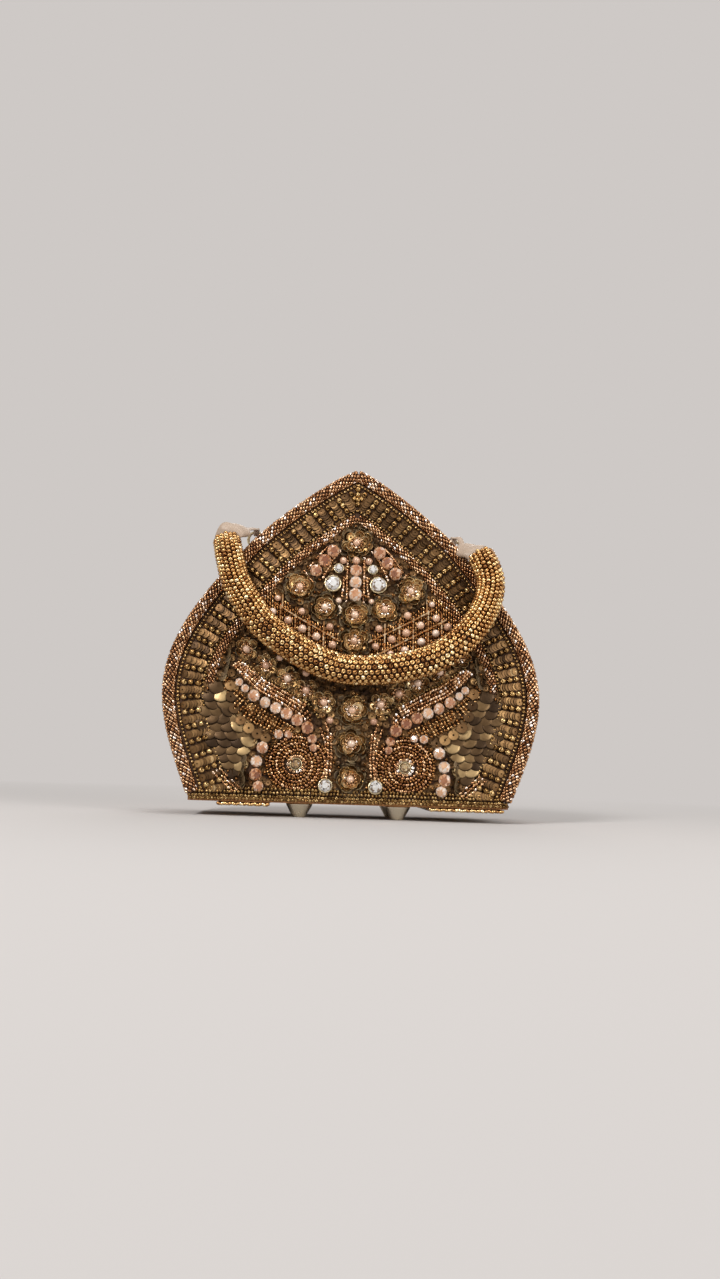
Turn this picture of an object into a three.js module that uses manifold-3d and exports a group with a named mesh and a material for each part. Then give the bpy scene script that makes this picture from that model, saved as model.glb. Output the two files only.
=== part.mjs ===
// A dome-shaped evening bag: two stiff panels on a studded base, folded side gussets and a
// bead-wrapped rope handle on two rings. The front is worked with bead cords, sequins and crystals.
// Millimetres, +Z up. The bag faces -Y and stands on its four studs.
import * as THREE from 'three';
import { mergeVertices } from 'three/addons/utils/BufferGeometryUtils.js';
import Module from 'manifold-3d';

const wasm = await Module();
wasm.setup();

// Driving dimensions. A panel is drawn flat: u across, v up from its bottom edge, w out of its face.
const fit = 0.3; // gap between two pieces that touch
const outline = {
  footHalf: 83.5, // half width at the bottom edge
  footFlare: 0.4, // sideways rise of the edge at the bottom, for each unit up
  bellyHalf: 98.7,
  bellyHeight: 54,
  bellyReach: 30, // how far the belly's upright run carries on upward
  shoulderHalf: 57.3,
  shoulderHeight: 134,
  shoulderSlope: 0.81,
  shoulderReach: 24,
  apexHeight: 179,
  apexHalf: 14, // the blunt curve under the point
  apexDrop: 5,
};
const depth = { foot: 26, top: 7.5 }; // from the middle plane to a board's outer face
const board = { thick: 3, inset: 0.8 };
const cloth = { thick: 1.2 };
const lining = { thick: 0.8, inset: 7, lift: 3.5 };
const rope = { wide: 6.5, thick: 4, lobes: 4, lobeRise: 0.12, step: 7.5, turn: Math.PI / 4 };
const piping = { wide: 4.4, thick: 4.4, step: 13 };
const base = { thick: 3.2, inset: 1, overhang: 1.5, corner: 4 };
const baseBand = { innerShare: 0.5, leftGap: 15.5, rightGap: 2.5, thick: 1.8 }; // gaps from the base's ends
const baseLining = { thick: 1.2, margin: 1.2 };
const stud = { topRadius: 6.9, tipRadius: 3.2, height: 7.3, shank: 1.5, spread: 25.5, setBack: 9.5 };
const washer = { radius: 4.5, thick: 0.8 };
const gusset = { thick: 1.2, inset: 2.6, underRing: 9.5, footFold: 3, topFold: 8, steps: 9 };
const ring = { x: 55, radius: 4.4, wire: 0.8, centreUp: 139.5 };
const loop = { bore: 1.7, wall: 1, wide: 4 };
const strap = { thick: 1.7, rootWide: 8.8, wide: 12.5, loopWide: 4.4, tongue: 0.035 };
const handle = {
  radius: 8, endRadius: 7.4, wall: 2, strings: 16, groove: 0.9, stations: 28, boreSides: 8, boreStep: 2,
};
const snap = { radius: 6.5, height: 159 };
const relief = {
  sink: 0.4, // how far raised work is rooted in the cloth
  bar: { count: 26, start: 9, long: 11.2, wide: 2.9, rise: 2.2, phase: 0.75 },
  cord: { inset: 24.6, wide: 4.2, rise: 2.4, low: 56 },
  flower: { petals: 5, rise: 1.3, heart: 1.1, smallest: 8 }, // under the smallest, petals are left out
  crystal: { radius: 3.2, rise: 2.6 },
  stone: { rise: 2 },
  pearl: { radius: 2.1, rise: 2.4 },
  scale: { rise: 0.7 },
  leaf: { half: 5.5, rise: 0.8 },
};

// The front's motifs on the right half, in panel units; each is repeated mirrored on the left.
const motif = {
  flowers: [[0, 137.5, 10], [30.5, 112, 9], [16.7, 101.5, 8], [0, 97.8, 9], [0, 83.5, 9], [0, 59, 7],
    [0, 45, 9], [0, 27, 9], [0, 8.6, 9], [56.4, 75.5, 6.4], [45.5, 67, 6.4], [34, 60, 6.4], [25, 54.5, 6.4],
    [16.5, 49.5, 6.4]],
  crystals: [[13, 133], [17.6, 127.4], [21.8, 121.6], [0, 122.4], [0, 115.4], [0, 108.4], [54, 53],
    [47.4, 48.6], [41, 45.2], [35, 42.6], [29.2, 39.6], [23.9, 35.6], [45.6, 26], [48.6, 18.6],
    [48.8, 11.6], [47.2, 5.2]],
  pearls: [[7.2, 128.6], [13.6, 40.6], [36, 68.6], [25, 63]],
  stones: [[9.4, 122.6, 2.7], [12.2, 114.6, 4.6], [12.6, 6, 3.5]],
  leaf: [[63, 60], [52, 51.5], [40, 45], [28, 38.6], [19, 29]],
  footCord: [[68.6, 11], [63.4, 7], [57.6, 2.8]],
  scales: [[74.4, 58], [76.4, 46], [75.8, 34], [72, 24], [66.4, 14], [60.4, 12], [57, 12], [54.5, 17],
    [51.4, 26], [49, 34.5], [55, 41], [61.5, 48], [65, 55]],
  scroll: { u: 28.5, v: 17, outer: 9.6, inner: 6.4, heart: 3.4, rise: 1.8 },
  lattice: [[[42, 103], [12, 86], [3, 66]], [[47, 96], [22, 81], [3, 57]]],
};

// The rope handle's centre line as it hangs, from left to right, in panel units (u, v, w).
const handleRun = [
  [-69.5, 133, 8], [-67, 122, 12.4], [-63.5, 110, 13.2], [-57, 98.5, 13.2], [-48.5, 87, 13.2],
  [-36, 77.5, 13.2], [-22, 69.5, 13.2], [-7, 64.5, 13.2], [10, 64.3, 13.2], [27, 67, 13.2],
  [44, 73, 13.2], [59, 85.5, 13.2], [68, 99.5, 13.2], [71.5, 113, 13.2], [70, 123.5, 12.4], [68, 132, 8.6],
];

// Sizes that follow from the driving ones.
const lean = Math.asin((depth.foot - depth.top) / outline.apexHeight);
const baseTop = stud.height + base.thick;
const panelFoot = baseTop + fit + board.thick * Math.sin(lean);
const baseHalf = outline.footHalf - base.inset;
const baseHalfDepth = depth.foot + base.overhang;
const ringCentre = panelFoot + ring.centreUp * Math.cos(lean);
const pivotHeight = ringCentre + ring.radius;
const clothTop = fit + cloth.thick;
const liningBack = board.thick + fit + lining.thick;
const gussetTop = ring.centreUp - gusset.underRing;
const cutter = 60; // longer than anything that it cuts

const colour = {
  velvet: { color: 0xb9803f, roughness: 0.95, metalness: 0 },
  board: { color: 0x9a7a4c, roughness: 0.9, metalness: 0 },
  embroidery: { color: 0xa9855a, roughness: 0.5, metalness: 0.35 },
  cord: { color: 0xc79a62, roughness: 0.4, metalness: 0.6 },
  beads: { color: 0xcf9f55, roughness: 0.35, metalness: 0.7 },
  lining: { color: 0xd9c39a, roughness: 0.7, metalness: 0 },
  strap: { color: 0xc6aa91, roughness: 0.6, metalness: 0 },
  brass: { color: 0xd8c48e, roughness: 0.3, metalness: 1 },
  steel: { color: 0xb9b9b4, roughness: 0.35, metalness: 1 },
  core: { color: 0xe8dfcc, roughness: 0.95, metalness: 0 },
};

const bag = new THREE.Group();

// Solids.
function toSolid(geometry) {
  const bare = geometry.clone();
  bare.deleteAttribute('normal');
  bare.deleteAttribute('uv');
  const merged = mergeVertices(bare, 1e-4);
  const solid = new wasm.Manifold(new wasm.Mesh({
    numProp: 3,
    vertProperties: new Float32Array(merged.attributes.position.array),
    triVerts: new Uint32Array(merged.index.array),
  }));
  return solid;
}

function toGeometry(solid) {
  const mesh = solid.getMesh();
  const geometry = new THREE.BufferGeometry();
  geometry.setAttribute('position', new THREE.BufferAttribute(mesh.vertProperties, 3));
  geometry.setIndex(new THREE.BufferAttribute(mesh.triVerts, 1));
  return geometry;
}

function addMesh(name, geometry, look, parent = bag) {
  const mesh = new THREE.Mesh(geometry, new THREE.MeshStandardMaterial(look));
  mesh.name = name;
  parent.add(mesh);
  return mesh;
}

// A closed skin over sections of equal point counts; each end is closed by a strip of quads.
function loft(sections) {
  const count = sections[0].length;
  const points = sections.flat();
  const last = points.length - count;
  const index = [];
  for (let row = 0; row < last; row += count) {
    for (let j = 0; j < count; j++) {
      const a = row + j;
      const b = row + (j + 1) % count;
      index.push(a, b, b + count, a, b + count, a + count);
    }
  }
  for (let j = 0; j < count / 2 - 1; j++) {
    const k = count - 1 - j;
    index.push(j, k, k - 1, j, k - 1, j + 1);
    index.push(last + j, last + j + 1, last + k - 1, last + j, last + k - 1, last + k);
  }
  return facingOut(points, index);
}

function facingOut(points, index) {
  let volume = 0;
  for (let i = 0; i < index.length; i += 3) {
    const [a, b, c] = [points[index[i]], points[index[i + 1]], points[index[i + 2]]];
    volume += a.dot(b.clone().cross(c));
  }
  const geometry = new THREE.BufferGeometry();
  geometry.setAttribute('position', new THREE.Float32BufferAttribute(points.flatMap((p) => p.toArray()), 3));
  geometry.setIndex(volume > 0 ? index : index.reverse());
  return geometry;
}

// A flat shape in the panel's u and v, standing from w = low to w = high.
function plate(points, low, high) {
  const flat = new THREE.ExtrudeGeometry(new THREE.Shape(points), { depth: high - low, bevelEnabled: false });
  flat.rotateX(Math.PI / 2);
  flat.translate(0, -low, 0);
  return flat;
}

// A blunt cone standing on the panel's face: its foot is wider than its top.
function stump(u, v, foot, top, low, high, sides) {
  const cone = new THREE.CylinderGeometry(top, foot, high - low, sides, 1);
  cone.rotateX(Math.PI);
  cone.translate(u, -(low + high) / 2, v);
  return cone;
}

// The panel's right-hand edge, from its foot to the point.
const rightEdge = new THREE.CurvePath();
{
  const foot = new THREE.Vector2(outline.footHalf, 0);
  const belly = new THREE.Vector2(outline.bellyHalf, outline.bellyHeight);
  const shoulder = new THREE.Vector2(outline.shoulderHalf, outline.shoulderHeight);
  const apex = new THREE.Vector2(0, outline.apexHeight);
  const third = outline.bellyHeight / 3;
  const reach = outline.shoulderReach;
  rightEdge.add(new THREE.CubicBezierCurve(foot,
    new THREE.Vector2(foot.x + outline.footFlare * third, third),
    new THREE.Vector2(belly.x, 2 * third), belly));
  rightEdge.add(new THREE.CubicBezierCurve(belly,
    new THREE.Vector2(belly.x, belly.y + outline.bellyReach),
    new THREE.Vector2(shoulder.x + outline.shoulderSlope * reach, shoulder.y - reach), shoulder));
  rightEdge.add(new THREE.CubicBezierCurve(shoulder,
    new THREE.Vector2(shoulder.x - outline.shoulderSlope * reach / 2, shoulder.y + reach / 2),
    new THREE.Vector2(outline.apexHalf, apex.y - outline.apexDrop), apex));
}
const edgeLength = rightEdge.getLength();

// The edge moved inward, from the bottom line up to where it meets u = gap.
function insetEdge(distance, steps, gap = 0) {
  const points = [];
  for (let i = 0; i <= steps; i++) {
    const p = rightEdge.getPointAt(i / steps);
    const t = rightEdge.getTangentAt(i / steps);
    const q = new THREE.Vector2(p.x - t.y * distance, p.y + t.x * distance);
    if (i === 0 && q.y > 0) points.push(q.clone().addScaledVector(t, -q.y / t.y));
    const before = points[points.length - 1];
    if (q.x < gap) {
      points.push(before.clone().lerp(q, (before.x - gap) / (before.x - q.x)));
      break;
    }
    points.push(q);
  }
  return points;
}

function halfWidth(height) {
  const points = rightEdge.getSpacedPoints(200);
  const above = points.findIndex((p) => p.y >= height);
  if (above <= 0) return points[0].x;
  const [p, q] = [points[above - 1], points[above]];
  return THREE.MathUtils.lerp(p.x, q.x, (height - p.y) / (q.y - p.y));
}

function panelShape(inset, steps = 20) {
  const right = insetEdge(inset, steps, 0);
  const left = right.slice(0, -1).reverse().map((p) => new THREE.Vector2(-p.x, p.y));
  return [...right, ...left];
}

// A point of the front panel's frame in the bag's own frame.
function onFront(u, v, w) {
  return new THREE.Vector3(u,
    -depth.foot + v * Math.sin(lean) - w * Math.cos(lean),
    panelFoot + v * Math.cos(lean) + w * Math.sin(lean));
}

function panelGroup(turn) {
  const outer = new THREE.Group();
  outer.rotation.z = turn;
  const inner = new THREE.Group();
  inner.position.set(0, -depth.foot, panelFoot);
  inner.rotation.x = -lean;
  outer.add(inner);
  bag.add(outer);
  return inner;
}
const front = panelGroup(0);
const back = panelGroup(Math.PI);

// Boards, linings and the plain back cloth.
function addPanel(side, parent) {
  const boardShape = panelShape(board.inset);
  const liningShape = panelShape(lining.inset).map((p) => new THREE.Vector2(p.x, Math.max(p.y, lining.lift)));
  addMesh(`${side}_board`, plate(boardShape, -board.thick, 0), colour.board, parent);
  addMesh(`${side}_lining`, plate(liningShape, -liningBack, -board.thick - fit), colour.lining, parent);
}
addPanel('front', front);
addPanel('back', back);
addMesh('back_cloth', plate(panelShape(piping.wide + board.inset), fit, clothTop), colour.velvet, back);

// The edge cords: each runs from a bottom corner up to the point. A lobed section that turns
// along the way gives the twist.
function cordGeometry(size, hand, lobes, lobeRise, turn) {
  const path = insetEdge(size.wide / 2, Math.round(edgeLength / size.step), fit);
  const sides = lobes * 2 || 6;
  const sections = path.map((p, i) => {
    const [before, after] = [path[Math.max(i - 1, 0)], path[Math.min(i + 1, path.length - 1)]];
    const across = new THREE.Vector2(after.y - before.y, before.x - after.x).normalize();
    if (i === path.length - 1) across.set(0, 1);
    if (i === 0) across.set(1, 0);
    return Array.from({ length: sides }, (_, j) => {
      const angle = (j / sides) * 2 * Math.PI + i * turn;
      const reach = 1 - (lobes && j % 2 ? lobeRise : 0);
      const a = reach * Math.cos(angle) * size.wide / 2;
      const up = fit + size.thick / 2 * (1 + hand * reach * Math.sin(angle));
      const out = Math.max(p.x + across.x * a, fit / 2);
      return new THREE.Vector3(hand * out, -up, Math.max(p.y + across.y * a, 0));
    });
  });
  return loft(sections);
}
for (const [hand, name] of [[-1, 'left'], [1, 'right']]) {
  const twisted = cordGeometry(rope, hand, rope.lobes, rope.lobeRise, rope.turn);
  addMesh(`front_rope_${name}`, twisted, colour.cord, front);
  addMesh(`back_piping_${name}`, cordGeometry(piping, -hand, 0, 0, 0), colour.velvet, back);
}

// The worked front cloth: raised work is rooted in the cloth and joined to it.
function mirrored(list) {
  return list.flatMap(([u, ...rest]) => (u === 0 ? [[u, ...rest]] : [[u, ...rest], [-u, ...rest]]));
}

// Each bar is a short row of beads across the border; the flat sequins between are left as cloth.
function barSolids() {
  const { bar } = relief;
  const path = new THREE.CatmullRomCurve3(
    insetEdge(bar.start + bar.long / 2, 24, 2).map((p) => new THREE.Vector3(p.x, p.y, 0)));
  const solids = [];
  for (let i = 0; i < bar.count; i++) {
    const t = (i + bar.phase) / bar.count;
    const p = path.getPointAt(t);
    const tangent = path.getTangentAt(t);
    for (const hand of [-1, 1]) {
      const box = new THREE.BoxGeometry(bar.long, bar.rise + relief.sink, bar.wide);
      box.rotateY(-hand * Math.atan2(-tangent.x, tangent.y));
      box.translate(hand * p.x, -clothTop - (bar.rise - relief.sink) / 2, Math.max(p.y, bar.long / 3));
      solids.push(box);
    }
  }
  return solids;
}

function innerCordSolids() {
  const { cord } = relief;
  const path = insetEdge(cord.inset, 24, 0).filter((p) => p.y > cord.low);
  const low = clothTop - relief.sink;
  const high = clothTop + cord.rise;
  return [-1, 1].map((hand) => loft(path.map((p, i) => {
    const [before, after] = [path[Math.max(i - 1, 0)], path[Math.min(i + 1, path.length - 1)]];
    const across = new THREE.Vector2(after.y - before.y, before.x - after.x).normalize();
    return [[-1, low], [-0.5, high], [0.5, high], [1, low]]
      .map(([side, w]) => new THREE.Vector3(
        hand * (p.x + side * across.x * cord.wide / 2), -w, p.y + side * across.y * cord.wide / 2));
  })));
}

function flowerSolids(u, v, radius) {
  const { flower } = relief;
  if (radius < flower.smallest) {
    const high = clothTop + flower.rise + flower.heart;
    return [stump(u, v, radius, radius * 0.3, clothTop - relief.sink, high, 6)];
  }
  const points = Array.from({ length: flower.petals * 2 }, (_, i) => {
    const angle = (i / flower.petals) * Math.PI + Math.PI / 2;
    const reach = radius * (i % 2 ? 0.62 : 1);
    return new THREE.Vector2(u + reach * Math.cos(angle), v + reach * Math.sin(angle));
  });
  const top = clothTop + flower.rise;
  return [plate(points, clothTop - relief.sink, top),
    stump(u, v, radius * 0.38, radius * 0.2, top - relief.sink, top + flower.heart, 5)];
}

function ribbon(points, half, rise) {
  const curve = new THREE.SplineCurve(points.map(([u, v]) => new THREE.Vector2(u, v)));
  const centre = curve.getPoints(points.length + 1);
  const sideAt = (sign) => centre.map((p, i) => {
    const [before, after] = [centre[Math.max(i - 1, 0)], centre[Math.min(i + 1, centre.length - 1)]];
    const normal = new THREE.Vector2(before.y - after.y, after.x - before.x).normalize();
    const ends = i === 0 || i === centre.length - 1 ? 0.35 : 1;
    return p.clone().addScaledVector(normal, sign * half * ends);
  });
  return [...sideAt(1), ...sideAt(-1).reverse()].map((p) => [p.x, p.y, rise]);
}

function ribbonSolids(points, half, rise) {
  const edge = ribbon(points, half, rise);
  return [-1, 1].map((hand) => {
    const shape = edge.map(([u, v]) => new THREE.Vector2(hand * u, v));
    if (THREE.ShapeUtils.isClockWise(shape)) shape.reverse();
    return plate(shape, clothTop - relief.sink, clothTop + rise);
  });
}

function scrollSolids() {
  const { scroll } = motif;
  return [-1, 1].flatMap((hand) => {
    const shape = new THREE.Shape().absarc(hand * scroll.u, scroll.v, scroll.outer, 0, 2 * Math.PI);
    shape.holes.push(new THREE.Path().absarc(hand * scroll.u, scroll.v, scroll.inner, 0, 2 * Math.PI));
    const ringPlate = new THREE.ExtrudeGeometry(shape,
      { depth: scroll.rise + relief.sink, bevelEnabled: false, curveSegments: 6 });
    ringPlate.rotateX(Math.PI / 2);
    ringPlate.translate(0, relief.sink - clothTop, 0);
    const heart = stump(hand * scroll.u, scroll.v, scroll.heart, scroll.heart * 0.6,
      clothTop - relief.sink, clothTop + scroll.rise, 6);
    return [ringPlate, heart];
  });
}

// The field of large sequins, which overlap like fish scales, as one raised patch on each side.
function scaleSolids() {
  return [-1, 1].map((hand) => {
    const shape = motif.scales.map(([u, v]) => new THREE.Vector2(hand * u, v));
    if (THREE.ShapeUtils.isClockWise(shape)) shape.reverse();
    return plate(shape, clothTop - relief.sink, clothTop + relief.scale.rise);
  });
}

function worked() {
  const low = clothTop - relief.sink;
  const { crystal, pearl, stone, leaf, cord } = relief;
  const raised = [
    ...barSolids(),
    ...innerCordSolids(),
    ...ribbonSolids(motif.leaf, leaf.half, leaf.rise),
    ...ribbonSolids(motif.footCord, cord.wide / 2, cord.rise),
    ...motif.lattice.flatMap((line) => ribbonSolids(line, 0.8, 1)),
    ...scrollSolids(),
    ...scaleSolids(),
    ...mirrored(motif.flowers).flatMap(([u, v, radius]) => flowerSolids(u, v, radius)),
    ...mirrored(motif.crystals).map(([u, v]) =>
      stump(u, v, crystal.radius, crystal.radius * 0.6, low, clothTop + crystal.rise, 5)),
    ...mirrored(motif.pearls).map(([u, v]) =>
      stump(u, v, pearl.radius, pearl.radius * 0.5, low, clothTop + pearl.rise, 5)),
    ...mirrored(motif.stones).map(([u, v, radius]) =>
      stump(u, v, radius, radius * 0.6, low, clothTop + stone.rise, 6)),
  ];
  const ground = plate(panelShape(rope.wide + fit), fit, clothTop);
  return toGeometry(wasm.Manifold.union([ground, ...raised].map(toSolid)));
}
addMesh('front_embroidery', worked(), colour.embroidery, front);

// The base: a cloth-covered slab on four studs, with two bead bands across its underside.
function drilled(geometry, radius) {
  const holes = studPlaces().map(([, x, y]) => {
    const bore = new THREE.CylinderGeometry(radius, radius, cutter, 8);
    bore.rotateX(Math.PI / 2);
    bore.translate(x, y, 0);
    return toSolid(bore);
  });
  return toGeometry(toSolid(geometry).subtract(wasm.Manifold.union(holes)));
}

function studPlaces() {
  const x = stud.spread;
  const y = depth.foot - stud.setBack;
  return [['front_left', -x, -y], ['front_right', x, -y], ['back_left', -x, y], ['back_right', x, y]];
}

function roundedSlab(halfX, halfY, corner, low, high) {
  const shape = new THREE.Shape();
  shape.absarc(halfX - corner, halfY - corner, corner, 0, Math.PI / 2);
  shape.absarc(-halfX + corner, halfY - corner, corner, Math.PI / 2, Math.PI);
  shape.absarc(-halfX + corner, -halfY + corner, corner, Math.PI, 1.5 * Math.PI);
  shape.absarc(halfX - corner, -halfY + corner, corner, 1.5 * Math.PI, 2 * Math.PI);
  const slab = new THREE.ExtrudeGeometry(shape, { depth: high - low, bevelEnabled: false, curveSegments: 4 });
  slab.translate(0, 0, low);
  return slab;
}
const slab = roundedSlab(baseHalf, baseHalfDepth, base.corner, stud.height, baseTop);
addMesh('base_panel', drilled(slab, stud.shank + fit), colour.velvet);

const liningFloor = baseTop + washer.thick + 2 * fit;
const liningHalfDepth = depth.foot - liningBack - baseLining.margin;
const liningHalf = outline.footHalf - gusset.inset - gusset.footFold - gusset.thick - baseLining.margin;
const liningTop = liningFloor + baseLining.thick;
const liningSlab = roundedSlab(liningHalf, liningHalfDepth, base.corner, liningFloor, liningTop);
addMesh('base_lining', liningSlab, colour.lining);

for (const [hand, name, gap] of [[-1, 'left', baseBand.leftGap], [1, 'right', baseBand.rightGap]]) {
  const inner = baseHalf * baseBand.innerShare;
  const wide = baseHalf - gap - inner;
  const band = new THREE.BoxGeometry(wide, 2 * baseHalfDepth, baseBand.thick);
  band.translate(hand * (inner + wide / 2), 0, stud.height - fit - baseBand.thick / 2);
  addMesh(`base_bead_band_${name}`, band, colour.beads);
}

for (const [name, x, y] of studPlaces()) {
  const { topRadius, tipRadius, height, shank } = stud;
  const reach = baseTop + washer.thick;
  const seat = height - fit;
  const profile = [[0, 0], [tipRadius, 0], [tipRadius + 0.6, 0.8], [topRadius, seat - 1], [topRadius, seat],
    [shank, seat], [shank, reach], [0, reach]];
  const foot = new THREE.LatheGeometry(profile.map(([r, z]) => new THREE.Vector2(r, z)), 10);
  foot.rotateX(Math.PI / 2);
  addMesh(`stud_${name}`, facedOut(foot), colour.brass).position.set(x, y, 0);
  const bore = shank + fit;
  const { radius, thick } = washer;
  const disc = [[bore, 0], [radius, 0], [radius, thick], [bore, thick], [bore, 0]];
  const plateRing = new THREE.LatheGeometry(disc.map(([r, z]) => new THREE.Vector2(r, z)), 10);
  plateRing.rotateX(Math.PI / 2);
  addMesh(`stud_washer_${name}`, facedOut(plateRing), colour.steel).position.set(x, y, baseTop + fit);
}

// A lathe's skin with its faces turned outward.
function facedOut(geometry) {
  geometry.deleteAttribute('normal');
  geometry.deleteAttribute('uv');
  const merged = mergeVertices(geometry, 1e-4);
  const { position } = merged.attributes;
  const pointAt = (_, i) => new THREE.Vector3().fromBufferAttribute(position, i);
  const points = Array.from({ length: position.count }, pointAt);
  const index = [];
  for (let i = 0; i < merged.index.count; i += 3) {
    const [a, b, c] = [0, 1, 2].map((k) => merged.index.getX(i + k));
    if (a !== b && b !== c && c !== a) index.push(a, b, c);
  }
  return facingOut(points, index);
}

// Gussets: a band of cloth along each side between the boards, creased inward down its middle.
function gussetGeometry(hand) {
  const top = panelFoot + gussetTop * Math.cos(lean);
  const behind = board.thick + fit;
  const low = panelFoot + fit;
  const sections = [];
  for (let i = 0; i <= gusset.steps; i++) {
    const share = i / gusset.steps;
    const z = THREE.MathUtils.lerp(low, top, share);
    const v = (z - panelFoot + behind * Math.sin(lean)) / Math.cos(lean);
    const y = depth.foot - v * Math.sin(lean) - behind * Math.cos(lean);
    const x = halfWidth(v) - gusset.inset;
    const fold = THREE.MathUtils.lerp(gusset.footFold, gusset.topFold, share);
    const outer = [-1, -0.5, 0, 0.5, 1].map((s) =>
      new THREE.Vector3(hand * (x - fold * (1 - Math.abs(s))), s * y, z));
    const inner = outer.map((p) => new THREE.Vector3(p.x - hand * gusset.thick, p.y, p.z)).reverse();
    sections.push([...outer, ...inner]);
  }
  return loft(sections);
}

// A tube of cloth around the ring's wire, lying along X.
function sleeveSolid(x, z, wide) {
  const tube = (radius, long) => {
    const cylinder = new THREE.CylinderGeometry(radius, radius, long, 10);
    cylinder.rotateZ(Math.PI / 2);
    cylinder.translate(x, 0, z);
    return toSolid(cylinder);
  };
  return { wall: tube(loop.bore + loop.wall, wide), bore: tube(loop.bore, cutter / 2) };
}

function tabGeometry(hand) {
  const wireHeight = ringCentre - ring.radius;
  const { wall, bore } = sleeveSolid(hand * ring.x, wireHeight, loop.wide);
  const foot = panelFoot + gussetTop * Math.cos(lean) + fit;
  const half = loop.bore + loop.wall;
  const neck = new THREE.BoxGeometry(loop.wide, 2 * half, wireHeight - foot);
  neck.translate(hand * ring.x, 0, (foot + wireHeight) / 2);
  return toGeometry(wall.add(toSolid(neck)).subtract(bore));
}

for (const [hand, name] of [[-1, 'left'], [1, 'right']]) {
  addMesh(`gusset_${name}`, gussetGeometry(hand), colour.velvet);
  addMesh(`ring_tab_${name}`, tabGeometry(hand), colour.velvet);
  const torus = new THREE.TorusGeometry(ring.radius, ring.wire, 6, 16);
  torus.rotateX(Math.PI / 2);
  addMesh(`ring_${name}`, facedOut(torus), colour.brass).position.set(hand * ring.x, 0, ringCentre);
}

// The magnetic snap: its halves meet on the bag's middle plane and stand on the two linings.
function snapGeometry(side) {
  const middle = onFront(0, snap.height, -liningBack);
  const disc = new THREE.CylinderGeometry(snap.radius, snap.radius, cutter, 12);
  disc.translate(0, -(cutter + fit) / 2, middle.z);
  const normal = [0, Math.cos(lean), -Math.sin(lean)];
  const seat = onFront(0, snap.height, -liningBack - fit);
  const offset = normal[1] * seat.y + normal[2] * seat.z;
  const kept = toSolid(disc).trimByPlane(normal, offset);
  const geometry = toGeometry(kept);
  if (side > 0) geometry.rotateZ(Math.PI);
  return geometry;
}
addMesh('front_snap', snapGeometry(-1), colour.steel);
addMesh('back_snap', snapGeometry(1), colour.steel);

// The handle: a rope core in a bead sleeve, with a strap from each end to its ring.
const run = new THREE.CatmullRomCurve3(handleRun.map(([u, v, w]) => onFront(u, v, w)), false, 'centripetal');

// A direction across the run, carried along it without twist from the panel's own outward one.
const runNormals = [onFront(0, 0, 1).sub(onFront(0, 0, 0))];
for (let i = 0; i <= handle.stations; i++) {
  const tangent = run.getTangentAt(i / handle.stations);
  const normal = runNormals[Math.max(i - 1, 0)].clone();
  runNormals[i] = normal.addScaledVector(tangent, -normal.dot(tangent)).normalize();
}

function sleeveRadius(t) {
  return handle.radius - (handle.radius - handle.endRadius) * Math.abs(2 * t - 1) ** 3;
}

function roundSection(station, radii, slip = 0) {
  const t = station / handle.stations;
  const tangent = run.getTangentAt(t);
  const centre = run.getPointAt(t).addScaledVector(tangent, slip);
  const across = new THREE.Vector3().crossVectors(tangent, runNormals[station]);
  return radii.map((radius, j) => {
    const angle = (j / radii.length) * 2 * Math.PI;
    return centre.clone()
      .addScaledVector(runNormals[station], radius * Math.cos(angle))
      .addScaledVector(across, radius * Math.sin(angle));
  });
}

// Outside, the sleeve has a rib for each string of beads.
function ribbed(radius) {
  return Array.from({ length: 2 * handle.strings }, (_, j) => radius - (j % 2 ? handle.groove : 0));
}

function plain(radius) {
  return new Array(handle.boreSides).fill(radius);
}

function sleeveGeometry() {
  const { stations, wall, boreStep } = handle;
  const outer = [];
  const bore = [roundSection(0, plain(sleeveRadius(0) - wall), -1)];
  for (let i = 0; i <= stations; i++) {
    const radius = sleeveRadius(i / stations);
    outer.push(roundSection(i, ribbed(radius)));
    if (i % boreStep === 0) bore.push(roundSection(i, plain(radius - wall)));
  }
  bore.push(roundSection(stations, plain(sleeveRadius(1) - wall), 1));
  return toGeometry(toSolid(loft(outer)).subtract(toSolid(loft(bore))));
}

function coreGeometry() {
  const sections = [];
  for (let i = handle.boreStep; i <= handle.stations - handle.boreStep; i += handle.boreStep) {
    sections.push(roundSection(i, plain(sleeveRadius(i / handle.stations) - handle.wall - fit)));
  }
  return loft(sections);
}
addMesh('handle_bead_sleeve', sleeveGeometry(), colour.beads);
addMesh('handle_core', coreGeometry(), colour.core);

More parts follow.
